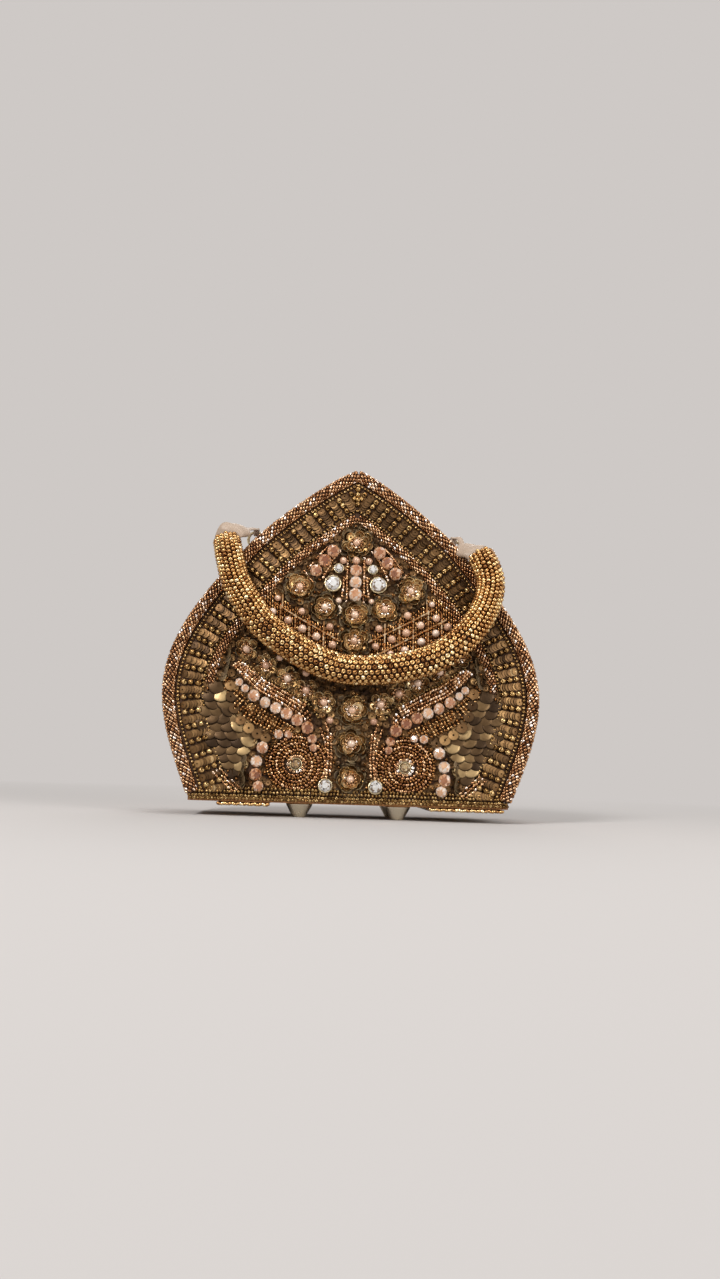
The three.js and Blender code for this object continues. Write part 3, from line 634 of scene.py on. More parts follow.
def metalFinish(name, low, high, roughness):
    material, tree, shader = newFinish(name)
    cloud = noise(tree, 60, 4)
    link(tree, mixed(tree, cloud, tint(*low), tint(*high)), shader.inputs["Base Color"])
    marks = noise(tree, 400, 3, (1, 1, 0.15))  # long fine scratches
    link(tree, ranged(tree, marks, *roughness, 0.3, 0.7), shader.inputs["Roughness"])
    shader.inputs["Metallic"].default_value = 1.0
    bumped(tree, shader, marks, 0.08, 0.0001)
    return material


brass = metalFinish("paleBrass", (206, 186, 142), (236, 222, 186), (0.18, 0.36))
champagne = metalFinish("champagneMetal", (204, 192, 166), (230, 220, 198), (0.16, 0.3))
steel = metalFinish("steel", (176, 176, 172), (206, 206, 202), (0.25, 0.4))
bugleGold = beadFinish("bugleGold", finishes["bugleGold"], (0.1, 0.24))
print("finishes made")

for cadFinish, cadNames in (
    (boardCloth, ["front_board", "back_board"]),
    (satin, ["front_lining", "back_lining", "base_lining"]),
    (velvet, ["back_cloth", "back_piping_left", "back_piping_right", "base_panel", "gusset_left",
              "gusset_right", "ring_tab_left", "ring_tab_right"]),
    (coreCord, ["handle_core"]),
    (softLeather, ["handle_strap_left", "handle_strap_right"]),
    (brass, ["ring_left", "ring_right", "stud_front_left", "stud_front_right", "stud_back_left",
             "stud_back_right"]),
    (steel, ["front_snap", "back_snap", "stud_washer_front_left", "stud_washer_front_right",
             "stud_washer_back_left", "stud_washer_back_right"]),
    (groundCloth, ["front_embroidery"]),
    (roseGold, ["front_rope_left", "front_rope_right"]),
    (yellowGold, ["base_bead_band_left", "base_bead_band_right", "handle_bead_sleeve"]),
):
    for cadName in cadNames:
        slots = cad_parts[cadName].data.materials
        if len(slots):
            slots[0] = cadFinish
        else:
            slots.append(cadFinish)
print("CAD nodes dressed")

# The twisted bead cords: one round the edge and one round the worked middle.
cords = {
    "edge": {"inset": 3.2, "halfWide": 2.75, "halfThick": 1.75, "lift": 2.3, "bead": 1.42, "long": 2.1,
             "lay": 40, "from": -0.25, "to": 1.25, "gap": 0.15},
    "inner": {"inset": 24.2, "halfWide": 2.1, "halfThick": 1.5, "lift": 1.7, "bead": 1.36, "long": 2.0,
              "lay": 40, "from": 0.0, "to": 1.0, "gap": 0.15, "foot": 56},
}


def cordLayout(size, low=0.0):
    points, tangents, inward, run = edgeLine(size["inset"], 0.5, low, size["gap"])
    turns = size["to"] - size["from"]
    arc = math.pi * turns * math.sqrt((size["halfWide"] ** 2 + size["halfThick"] ** 2) / 2)
    lay = math.radians(size["lay"])
    stepAlong, stepRound = size["long"] * math.cos(lay), size["long"] * math.sin(lay)
    gap = size["bead"] / math.sin(lay)
    rows = []
    for start in np.arange(-arc / math.tan(lay), run[-1], gap):
        k = np.arange(int(arc / stepRound) + 1) + 0.5 * (round(start / gap) % 2)
        rows.append(np.stack([start + k * stepAlong, 1 - k * stepRound / arc], 1))
    at = np.concatenate(rows)
    at = at[(at[:, 0] >= 0) & (at[:, 0] <= run[-1]) & (at[:, 1] >= 0)]
    angle = math.pi * (size["from"] + turns * at[:, 1:])
    cos, sin = np.cos(angle), np.sin(angle)
    base, way, inside = (atRun(rows, run, at[:, 0]) for rows in (points, tangents, inward))
    height = size["lift"] + size["halfThick"] * sin
    place = np.concatenate([base - inside * (size["halfWide"] * cos), height], 1)
    facing = np.concatenate([-inside * cos, sin], 1)
    roundWay = np.concatenate([inside * sin, cos], 1)
    string = raised(way) * math.cos(lay) - roundWay * math.sin(lay)
    bead = [size["bead"] * 0.98, size["bead"] * 0.98, size["long"] * 0.96]
    return layout(place, facing, string, bead, dice.uniform(0.25, 0.75, len(place)))


def cordCore(name, size, low=0.0):  # a thread body under the beads, dark as painted shade between them
    points, _, inward, _ = edgeLine(size["inset"], 3.0, low, size["gap"])
    verts, sides = [], 10
    for (u, v), (nu, nv) in zip(points, inward):
        for j in range(sides):
            a = 2 * math.pi * j / sides
            c, s = 0.82 * size["halfWide"] * math.cos(a), 0.8 * size["halfThick"] * math.sin(a)
            verts.append((max(u - nu * c, 0.05), v - nv * c, size["lift"] + s))
    meshes = []
    for hand in (1, -1):
        turned = onFront(np.array(verts) * [hand, 1, 1])
        mesh = facedOut(meshFrom(name, turned, tubeFaces(len(points), sides), True))
        meshes.append(addObject(f"{name}{hand}", mesh, gapShadeCloth))
    return joined(name, *meshes)


edgeBeads = cordLayout(cords["edge"])
edgeCord = sewn("front_edge_cord_beads", bothSides(edgeBeads), riceBead, roseGold, 11, 0.08, 0.08, 0.34)
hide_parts("front_rope_left", "front_rope_right")
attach(edgeCord, "front_and_base")
edgeCore = cordCore("front_edge_cord_core", cords["edge"])
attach(edgeCore, "front_and_base")
innerBeads = cordLayout(cords["inner"], cords["inner"]["foot"])
innerCore = cordCore("front_inner_cord_core", cords["inner"], cords["inner"]["foot"])
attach(innerCore, "front_and_base")
print("bead cords laid:", len(edgeBeads["place"]) * 2 + len(innerBeads["place"]) * 2, "beads")

# The front's cloth ground between its cords.
ground = {"inset": 6.6, "low": 0.3, "top": 1.5, "pitch": 4.0, "centre": (0.0, 60.0), "rings": (0.6, 0.25)}


def frontGround(size):
    right = edgeLine(size["inset"], size["pitch"])[0]
    right[-1, 0] = 0.0
    outline = np.concatenate([right, (right[:-1] * [-1, 1])[::-1]])
    centre = np.array([size["centre"]])
    rings = [outline] + [centre + (outline - centre) * share for share in size["rings"]]
    layers = [(size["low"], rings[2]), (size["low"], rings[0])] + [(size["top"], ring) for ring in rings]
    verts = [(u, v, w) for w, ring in layers for u, v in ring]
    return facedOut(meshFrom("front_ground", onFront(verts), tubeFaces(len(layers), len(outline))))


groundPiece = addObject("front_ground", frontGround(ground), groundCloth)
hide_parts("front_embroidery")
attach(groundPiece, "front_and_base")

# Bars round the border: overlapping sequins and threes of square beads in turn.
bars = {
    "count": 52, "start": 9.0, "long": 11.2, "lowest": 2.4, "lean": 20, "point": (167.5, 164.3, 161.1),
    "sequins": 7, "sequin": 4.1, "sequinEnds": 1.6, "sequinLift": 2.35,
    "beads": 3, "bead": 2.9, "beadEnds": 0.6, "beadLift": 2.9,
}


def barLayouts(size):
    line, way, inward, run = edgeLine(size["start"] + size["long"] / 2, 0.5)
    sequins, beads = [], []
    for i in range(size["count"]):
        at = run[-1] * (i + 0.5) / size["count"]
        spot, along, across = (atRun(rows, run, at) for rows in (line, way, inward))
        isSequins = i % 2 == 0
        number = size["sequins"] if isSequins else size["beads"]
        reach = size["long"] - (size["sequinEnds"] if isSequins else size["beadEnds"])
        steps = (np.arange(number) - (number - 1) / 2) * reach / number
        barTone = dice.uniform(0.34, 0.66) - 0.2 * spot[1] / panel["height"]  # darker near the point
        for step in steps:
            u, v = spot + across * step + dice.normal(0, 0.08, 2)
            v = max(v, size["lowest"])
            if isSequins:
                tilt = math.radians(size["lean"] + dice.normal(0, 5))
                facing = [*(-across * math.sin(tilt)), math.cos(tilt)]
                tone = barTone + dice.uniform(-0.12, 0.12)
                place = [u, v, size["sequinLift"]]
                sequins.append(layout(place, [*along, 0], facing, size["sequin"], tone))
            else:
                facing = [*(across * 0.9), dice.uniform(0.1, 0.9)]
                tone = dice.uniform(0.3, 0.8)
                place = [u, v, size["beadLift"]]
                beads.append(layout(place, [*along, 0], facing, size["bead"], tone))
    for v in size["point"]:  # down the middle, under the point
        facing = [0, 0.9, dice.uniform(0.1, 0.9)]
        beads.append(layout([0, v, size["beadLift"]], [1, 0, 0], facing, size["bead"], 0.5))
    for v in np.arange(size["point"][-1], size["point"][0] - 1.0, 1.25):
        tone = dice.uniform(0.3, 0.6)
        sequins.append(layout([2.7, v - 2.2, 2.2], [1, 0, 0], [0, -0.3, 1], size["sequin"] * 0.9, tone))
    return merged(*sequins), merged(*beads)


barSequins, barBeads = barLayouts(bars)
borderRows = {"insets": (8.1, 21.0), "bead": 1.85, "pitch": 1.95, "lift": 2.2, "foot": 0.8, "gap": 0.3}
rowBeads = []
for inset in borderRows["insets"]:
    line = edgeLine(inset, 1.0, borderRows["foot"], borderRows["gap"])[0]
    pitch, bead, lift = borderRows["pitch"], borderRows["bead"], borderRows["lift"]
    rowBeads.append(strung(line, pitch, bead, lift, "lean", 0.5, 0.07))
rowBeads = merged(*rowBeads)
rowBeads["facing"] = unit(rowBeads["facing"] + dice.normal(0, 0.35, rowBeads["facing"].shape))

# Flowers: smoky sequins, gold petals, a ring of rose gold beads and a pearl. A ring is inset
# from its flower's reach, or has a radius of its own.
flowers = {
    "big": {
        "at": [(0, 136.2, 10), (29.8, 110.1, 9.2), (16.0, 99.4, 8.8), (0, 95.8, 8.8), (0, 81.5, 9.2),
               (0, 44.4, 9.4), (0, 27, 9.2), (0, 8.8, 8.6)],
        "rings": [
            {"goods": "smokes", "count": 8, "inset": 3.0, "w": 2.0, "tilt": 9, "size": 7.0, "tone": 0.5,
             "start": 0.0, "wobble": 0.1},
            {"goods": "petals", "count": 6, "inset": 4.2, "w": 2.7, "tilt": 18, "size": 6.7, "tone": 0.52,
             "start": 0.3, "wobble": 0.1},
            {"goods": "petals", "count": 5, "inset": 5.5, "w": 3.4, "tilt": 27, "size": 5.8, "tone": 0.72,
             "start": 0.0, "wobble": 0.1},
            {"goods": "ringBeads", "count": 11, "radius": 2.8, "w": 3.9, "tilt": 20, "size": 1.5,
             "tone": 0.6, "start": 0.0, "wobble": 0.0},
        ],
        "pearl": {"w": 4.1, "size": 4.0, "tone": (0.35, 0.6)},
    },
    "small": {
        "at": [(56.2, 75, 4.3), (45.7, 66.6, 4.3), (34.1, 60.2, 4.3), (24.3, 54.2, 4.3), (14.8, 48.2, 4.3)],
        "rings": [
            {"goods": "petals", "count": 6, "inset": 0, "w": 2.4, "tilt": 20, "size": 5.0, "tone": 0.62,
             "start": 0.0, "wobble": 0.15},
            {"goods": "ringBeads", "count": 10, "radius": 2.75, "w": 2.9, "tilt": 15, "size": 1.6,
             "tone": 0.6, "start": 0.0, "wobble": 0.0},
        ],
        "pearl": {"w": 3.3, "size": 4.0, "tone": (0.4, 0.7)},
    },
    "lowest": 2.2,
}
flowerGoods = {"smokes": [], "petals": [], "ringBeads": [], "pearls": []}


def ringOf(ring, reach, u, v, turn):
    count = ring["count"]
    even = 2 * math.pi * np.arange(count) / count
    angle = turn + ring["start"] + even + dice.normal(0, ring["wobble"], count)
    way = np.stack([np.cos(angle), np.sin(angle), np.zeros(count)], 1)
    place = np.array([u, v, ring["w"]]) + way * ring.get("radius", reach - ring.get("inset", 0))
    place[:, 2] += dice.uniform(-0.12, 0.12, count)
    place[:, 1] = np.maximum(place[:, 1], flowers["lowest"])
    tilts = np.radians(ring["tilt"]) + dice.normal(0, 0.08, count)
    facing = -way * np.sin(tilts)[:, None] + outward * np.cos(tilts)[:, None]
    tone = ring["tone"] + dice.uniform(-0.1, 0.1, count)
    return layout(place, np.cross(outward, way), facing, ring["size"], tone)


for flower in (flowers["big"], flowers["small"]):
    for u, v, reach in flower["at"]:
        for hand in ((1,) if u == 0 else (1, -1)):
            turn = dice.uniform(0, 6.28)
            for ring in flower["rings"]:
                flowerGoods[ring["goods"]].append(ringOf(ring, reach, hand * u, v, turn))
            middle = flower["pearl"]
            place, tone = [hand * u, v, middle["w"]], dice.uniform(*middle["tone"])
            flowerGoods["pearls"].append(layout(place, [1, 0, 0], outward, middle["size"], tone))

# Crystals, set stones and pearls in rows.
gems = {
    "crystals": [
        (12.6, 130.8, 7.2), (17.0, 125.2, 7.2), (21.4, 119.4, 7.0), (0, 120.4, 7.0), (0, 113.7, 7.2),
        (0, 106.8, 7.2), (59.2, 57.2, 4.4), (56, 54, 4.6), (51.1, 50.3, 6.4), (45.3, 46.9, 6.2),
        (39.6, 44.2, 6.0), (33.9, 41.5, 6.6), (28.3, 38.3, 6.4), (22.9, 34.5, 6.8), (20.2, 28.9, 5.2),
        (19.4, 24.4, 4.4), (37.6, 30.6, 4.8), (32.6, 30.8, 4.2), (45.5, 23.6, 6.6), (48.2, 16.4, 6.4),
        (48.4, 9.8, 6.8), (46.8, 3.9, 5.8)],
    "pearls": [
        (6.9, 126.0, 4.0), (0, 126.2, 4.2), (11.4, 38.9, 4.0), (38.6, 71.2, 4.2), (24.7, 63.4, 4.2),
        (28.2, 96.7, 4.0), (41.3, 103.5, 3.4), (13.0, 88.8, 4.2), (43.6, 95.8, 4.3), (35.2, 91.5, 4.5),
        (27.6, 87.1, 4.5), (20.0, 83.2, 4.5), (11.4, 79.0, 4.2), (19.4, 75.0, 4.3), (27.0, 77.6, 4.3),
        (35.7, 82.5, 4.5), (43.4, 87.5, 4.3), (49.9, 91.2, 4.3), (8.8, 103.6, 3.2)],
    "stones": [(9.2, 121.6, 5.4), (12.2, 112.6, 9.0), (12.8, 5.2, 7.2)],
}
crystals, morePearls, stones = [], [], []
for u, v, size in gems["crystals"]:
    facing = unit(np.array([dice.normal(0, 0.25), dice.normal(0, 0.25), 1]))
    crystals.append(layout([u, v, 1.7 + 0.36 * size], [1, 0, 0], facing, size, dice.uniform(0.3, 0.8)))
for u, v, size in gems["pearls"]:
    morePearls.append(layout([u, v, 1.6 + 0.46 * size], [1, 0, 0], outward, size, dice.uniform(0.3, 0.7)))
for u, v, size in gems["stones"]:
    stones.append(layout([u, v, 1.6 + 0.32 * size], [1, 0, 0], outward, size, 0.6))
crystals, morePearls, stones = (bothSides(merged(*item)) for item in (crystals, morePearls, stones))

# The lattice: gold bugle beads on slanting lines with uprights between them.
lattice = {
    "slants": [[(8.6, 81.8), (23.8, 90.0), (31.5, 94.2), (41.5, 100.2)],
               [(10, 73.2), (23.5, 80.8), (31.4, 85.2), (48, 94.6)],
               [(23.4, 72.4), (31.4, 76.2), (39.6, 81.0), (53, 89.2)]],
    "uprights": [(16.2, 76.8, 90.6), (24, 72.2, 93.6), (31.4, 76.2, 94.2), (39.4, 81.0, 98.8),
                 (46.6, 85.4, 97.2), (38.6, 100.0, 104.6)],
    "bugle": 3.0, "wide": 1.3, "lift": 2.9,
    "under": {"pitch": 1.36, "long": 2.5, "wide": 1.2, "lift": 1.9, "across": (8.5, 58), "up": (70, 108)},
    "field": [(8, 72), (8, 86), (24, 95), (34, 100), (44, 108), (58, 98), (58, 86), (42, 79), (24, 69)],
}
latticeLines = lattice["slants"] + [[(u, low), (u, high)] for u, low, high in lattice["uprights"]]
bugleSize = [lattice["wide"], lattice["wide"], lattice["bugle"] * 0.94]
bugles = [strung(line, lattice["bugle"], bugleSize, lattice["lift"], tone=0.6) for line in latticeLines]
bugles = bothSides(merged(*bugles))

# The leaf: rows of cut beads above its crystals, dark rounds below them, and a rim over all.
leaf = {
    "line": [(64.6, 64.8), (59, 57.3), (51.1, 50.3), (39.6, 44.2), (28.3, 38.3), (20.5, 29)],
    "above": {"rows": 4, "pitch": 1.66, "start": 4.0, "step": 1.85, "lift": 2.6, "fan": (62, 26),
              "bead": [1.68, 1.68, 2.1]},
    "below": {"rows": 6, "pitch": 1.95, "start": 4.2, "step": 1.85, "lift": 2.3, "reach": 4.4, "swell": 9.0,
              "bead": 2.05},
    "rim": {"reach": 11.2, "pitch": 1.7, "bead": 1.8, "lift": 2.3, "share": 0.9},
}


# Points down the leaf, their directions, the way up from it, their share of its length, and its swell.
def leafFrame(pitch):
    line, way, _ = resampled(np.array(leaf["line"], float), pitch)
    up = np.stack([way[:, 1], -way[:, 0]], 1)
    share = np.linspace(0, 1, len(line))
    swell = 0.6 + 0.42 * np.sin(np.pi * share[:, None]) ** 0.5
    return line, way, up * np.sign(up[:, 1:2]), share, swell


def leafAbove(size):
    line, way, up, share, swell = leafFrame(size["pitch"])
    fan = np.radians(size["fan"][0] - size["fan"][1] * share)[:, None]
    stroke = raised(unit(up * np.sin(fan) - way * np.cos(fan)))
    found = []
    for row in range(size["rows"]):
        keep = share < 0.93 - 0.05 * row
        place = raised(line + up * ((size["start"] + row * size["step"]) * swell), size["lift"])
        place = (place + dice.normal(0, 0.12, place.shape))[keep]
        found.append(layout(place, outward, stroke[keep], size["bead"], dice.uniform(0.3, 0.8, len(place))))
    return bothSides(merged(*found))


def leafBelow(size):
    line, way, up, share, _ = leafFrame(size["pitch"])
    swell = np.sin(np.pi * np.clip(share * 1.05, 0, 1))
    found = []
    for row in range(size["rows"]):
        reach = size["start"] + row * size["step"]
        keep = (reach < size["reach"] + size["swell"] * swell) & (share > 0.04) & (share < 0.86)
        place = raised(line - up * reach, size["lift"])
        place = (place + dice.normal(0, 0.07, place.shape))[keep]
        if len(place):
            facing = unit(raised(way)[keep] * 0.85 + outward * 0.3 + dice.normal(0, 0.14, place.shape))
            found.append(layout(place, [1, 0, 0], facing, size["bead"], dice.uniform(0.3, 0.8, len(place))))
    return bothSides(merged(*found))


def leafRim(size):
    line, _, up, _, swell = leafFrame(leaf["above"]["pitch"])
    rim = (line + up * (size["reach"] * swell))[: int(len(line) * size["share"])]
    return bothSides(strung(rim, size["pitch"], size["bead"], size["lift"], "lean", 0.5, 0.1))


aboveBeads = leafAbove(leaf["above"])
belowBeads = leafBelow(leaf["below"])
leafRounds = leafRim(leaf["rim"])

# The scroll: strings of cut beads and small rounds coiled about a set stone.
scroll = {
    "u": 28.1, "v": 15.8, "start": 3.7, "reach": 15.8, "pitch": 1.66, "turned": 0.6, "flat": 0.98,
    "swirl": 28, "cut": [1.72, 1.72, 2.25], "cutLift": 2.4, "round": 1.95, "roundPitch": 1.55,
    "roundLift": 2.3, "left": 12.6, "foot": 3.4, "crystalGap": 0.3, "stoneGap": 0.5,
    "cup": 6.4, "stone": 5.2,
    "ring": {"count": 14, "radius": 4.1, "w": 2.6, "tilt": 15, "size": 1.8, "tone": 0.75, "start": 0.0,
             "wobble": 0.0},
}


def scrollLayouts(size):
    turns = (size["reach"] - size["start"]) / (size["pitch"] * 2)
    angle = np.linspace(0, turns * 2 * math.pi, 900)
    arms = []
    for arm in (0, 1):
        radius = size["start"] + size["pitch"] * (2 * angle / (2 * math.pi) + arm)
        u = size["u"] + radius * np.cos(angle + size["turned"])
        v = size["v"] + size["flat"] * radius * np.sin(angle + size["turned"])
        arms.append(np.stack([u, v], 1))
    cuts = strung(arms[0], size["cut"][2] * 0.92, size["cut"], size["cutLift"], "along", 0.4, 0.1)
    rounds = strung(arms[1], size["roundPitch"], size["round"], size["roundLift"], "lean", 0.36, 0.12)
    swirl = math.radians(size["swirl"])  # each cut bead leans across its ring
    sideways = np.cross(outward, cuts["facing"])
    cuts["facing"] = unit(cuts["facing"] * math.cos(swirl) + sideways * math.sin(swirl))
    others = [(*gem, size["crystalGap"]) for gem in gems["crystals"]]
    others += [(*gem, size["stoneGap"]) for gem in gems["stones"]]
    kept = []
    for item in (cuts, rounds):
        u, v = item["place"][:, 0], item["place"][:, 1]
        free = (v > size["foot"]) & (u > size["left"])
        for atU, atV, wide, gap in others:
            free &= np.hypot(u - atU, v - atV) > wide / 2 + gap
        kept.append({key: rows[free] for key, rows in item.items()})
    return kept


scrollCuts, scrollRounds = (bothSides(item) for item in scrollLayouts(scroll))
heartCup = bothSides(layout([scroll["u"], scroll["v"], 2.6], [1, 0, 0], outward, scroll["cup"], 0.8))
heartStone = bothSides(layout([scroll["u"], scroll["v"], 3.3], [1, 0, 0], outward, scroll["stone"], 0.5))
heartRing = bothSides(ringOf(scroll["ring"], 0.0, scroll["u"], scroll["v"], 0.0))
columns = {
    "lines": [
        [(12.4, 9.6), (11.6, 20), (12.4, 34), (13.4, 37)], [(10.4, 11), (9.9, 20), (10.6, 32)],
        [(13.0, 24), (14.2, 30), (16.0, 34.5)], [(4.5, 103.4), (4.5, 128)], [(7.2, 104.5), (6.2, 116.5)],
        [(8.8, 131.4), (12.6, 126.6), (17.4, 116.4)], [(16.0, 133.2), (20.6, 127.8), (25.2, 121.2)],
        [(23, 113.5), (27.5, 119.2)]],
    "pitch": 1.75, "bead": [1.7, 1.7, 2.05], "lift": 2.4,
}
column = [strung(line, columns["pitch"], columns["bead"], columns["lift"], "along", 0.5, 0.1)
          for line in columns["lines"]]
column = bothSides(merged(*column))

# Large satin sequins overlapping like scales, with smaller holed ones along their upper edge.
scales = {
    "edge": [(74.8, 58), (77.2, 46), (76.6, 34), (72.6, 24), (66.4, 14), (60.4, 11)],
    "inner": [(65.6, 56), (62.6, 46), (56.5, 37), (50.6, 30.5), (52.2, 24), (55.5, 16), (57, 10)],
    "size": 9.4, "columns": (40, 86, 6.1), "rows": (8, 64, 3.9), "slant": 0.1, "lift": 2.3, "rise": 0.3,
    "holes": [(63.6, 55.5), (63.0, 49.5), (61.0, 43.4), (57.4, 37.4), (53.0, 33.4), (48.6, 30.6),
              (44.2, 28.8)],
    "holed": 5.9, "holedLift": 3.4,
}


def insideOf(points, outline):
    u, v = points[:, 0], points[:, 1]
    hit = np.zeros(len(points), bool)
    a = np.array(outline)
    for p, q in zip(a, np.roll(a, -1, 0)):
        cross = (p[1] > v) != (q[1] > v)
        hit ^= cross & (u < (q[0] - p[0]) * (v - p[1]) / (q[1] - p[1] + 1e-12) + p[0])
    return hit


def scaleLayout(size):
    outline = size["edge"] + size["inner"][::-1]
    left, right, across = size["columns"]
    spots = []
    for i, v in enumerate(np.arange(*size["rows"])):
        for u in np.arange(left + (i % 2) * across * 0.5, right, across):
            spots.append((u - size["slant"] * v, v))
    spots = np.array(spots)
    spots = spots[insideOf(spots, outline)]
    spots = spots + dice.normal(0, 0.25, spots.shape)
    lift = size["lift"] + size["rise"] * (spots[:, 1] - spots[:, 1].min()) / np.ptp(spots[:, 1])
    place = np.concatenate([spots, lift[:, None]], 1)
    facing = unit(np.array([[-0.05, 0.19, 1.0]]) + dice.normal(0, 0.07, (len(spots), 3)))
    return layout(place, [1, 0, 0], facing, size["size"], dice.uniform(0.2, 0.95, len(spots)))


scalePieces = bothSides(scaleLayout(scales))
holed = []
for u, v in scales["holes"]:
    tone = dice.uniform(0.1, 0.7)
    holed.append(layout([u, v, scales["holedLift"]], [1, 0, 0], [-0.1, 0.22, 1], scales["holed"], tone))
holed = bothSides(merged(*holed))

# Short rows beside the scales: smoky sequins on edge, and three strings at the foot.
short = {
    "smoky": {"lines": [[(66.2, 73), (66.6, 66), (68, 60)], [(55.6, 18), (55.8, 11), (54.8, 4.5)]],
              "pitch": 1.5, "size": 4.6, "lift": 2.6},
    "strings": {"lines": [[(68, 11), (58, 2.4)], [(66.4, 12), (56.6, 3.6)], [(69.6, 9.8), (60, 1.6)]],
                "pitch": 2.0, "size": [1.3, 1.3, 2.0], "lift": 2.5},
}
smokeRows = []
smoky, strings = short["smoky"], short["strings"]
for line in smoky["lines"]:
    given = strung(line, smoky["pitch"], smoky["size"], smoky["lift"], "face", 0.45, 0.15)
    turned = given["facing"] + np.array([[0.9, 0.2, 0.0]])
    given["facing"] = unit(turned + dice.normal(0, 0.15, turned.shape))
    smokeRows.append(given)
smokeRows = bothSides(merged(*smokeRows))
shortCord = [strung(line, strings["pitch"], strings["size"], strings["lift"], "along", 0.55, 0.1)
             for line in strings["lines"]]
shortCord = bothSides(merged(*shortCord))

# Rows of small beads along the lower edge, and loose sequins sown over the ground.
footBeads = [
    {"line": [(1.0, 1.0), (80, 1.0)], "pitch": 1.8, "bead": 1.9, "lift": 2.0, "tone": 0.5, "wobble": 0.1},
    {"line": [(2.0, 2.7), (76, 2.7)], "pitch": 1.9, "bead": 2.0, "lift": 2.1, "tone": 0.4, "wobble": 0.15},
]
footRows = [strung(row["line"], row["pitch"], row["bead"], row["lift"], "lean", row["tone"], row["wobble"])
            for row in footBeads]
footRows = bothSides(merged(*footRows))
sown = {"pitch": 2.5, "sequin": 4.0, "inset": 22.6, "foot": 4.0, "right": 80, "top": 150, "tries": 14000,
        "seed": 5, "lift": (1.8, 2.4), "beadShare": 0.3, "bead": 1.7, "beadRise": 0.9}


def sownLayout(size):
    right = edgeLine(size["inset"], 3.0, low=size["foot"])[0]
    outline = np.concatenate([right, [(0, right[-1, 1]), (0, size["foot"])]])
    scatter = np.random.default_rng(size["seed"])
    tries = scatter.uniform([0, size["foot"]], [size["right"], size["top"]], (size["tries"], 2))
    tries = tries[insideOf(tries, outline)]
    scaleLine = scales["edge"] + scales["inner"][::-1]
    tries = tries[~insideOf(tries, scaleLine) & ~insideOf(tries, lattice["field"])]
    busy = [(u, v, wide / 2 + 0.6) for u, v, wide in gems["crystals"] + gems["stones"]]
    for u, v, reach in busy + [(scroll["u"], scroll["v"], scroll["reach"])]:
        tries = tries[np.hypot(tries[:, 0] - u, tries[:, 1] - v) > reach]
    found = []
    for p in tries:
        if all((p[0] - q[0]) ** 2 + (p[1] - q[1]) ** 2 > size["pitch"] ** 2 for q in found):
            found.append(p)
    n = len(found)
    facing = unit(np.concatenate([dice.normal(0, 0.22, (n, 2)), np.ones((n, 1))], 1))
    place = np.concatenate([np.array(found), dice.uniform(*size["lift"], (n, 1))], 1)
    return layout(place, [1, 0, 0], facing, size["sequin"], dice.uniform(0.05, 0.6, n))


sownSequins = bothSides(sownLayout(sown))
few = dice.uniform(0, 1, len(sownSequins["place"])) < sown["beadShare"]
sownBeads = {key: rows[few].copy() for key, rows in sownSequins.items()}
sownBeads["place"] += dice.normal(0, 0.5, sownBeads["place"].shape) * [1, 1, 0] + [0, 0, sown["beadRise"]]
sownBeads["facing"] = unit(dice.normal(0, 1, sownBeads["facing"].shape) + outward * 0.3)
sownBeads["size"][:] = sown["bead"]


def underLattice(size):  # upright beads that fill the ground behind the lattice
    found = []
    low, high = size["up"]
    for u in np.arange(*size["across"], size["pitch"]):
        v = np.arange(low + dice.uniform(0, size["long"]), high, size["long"] * 1.03)
        found.append(np.stack([np.full(len(v), u), v, np.full(len(v), size["lift"])], 1))
    found = np.concatenate(found)
    found = found[insideOf(found[:, :2], lattice["field"])]
    bead = [size["wide"], size["wide"], size["long"]]
    return layout(found, [1, 0, 0], [0, 1, 0], bead, dice.uniform(0.1, 0.75, len(found)))


latticeGround = bothSides(underLattice(lattice["under"]))
print("front laid out:", len(sownSequins["place"]), "sown sequins")

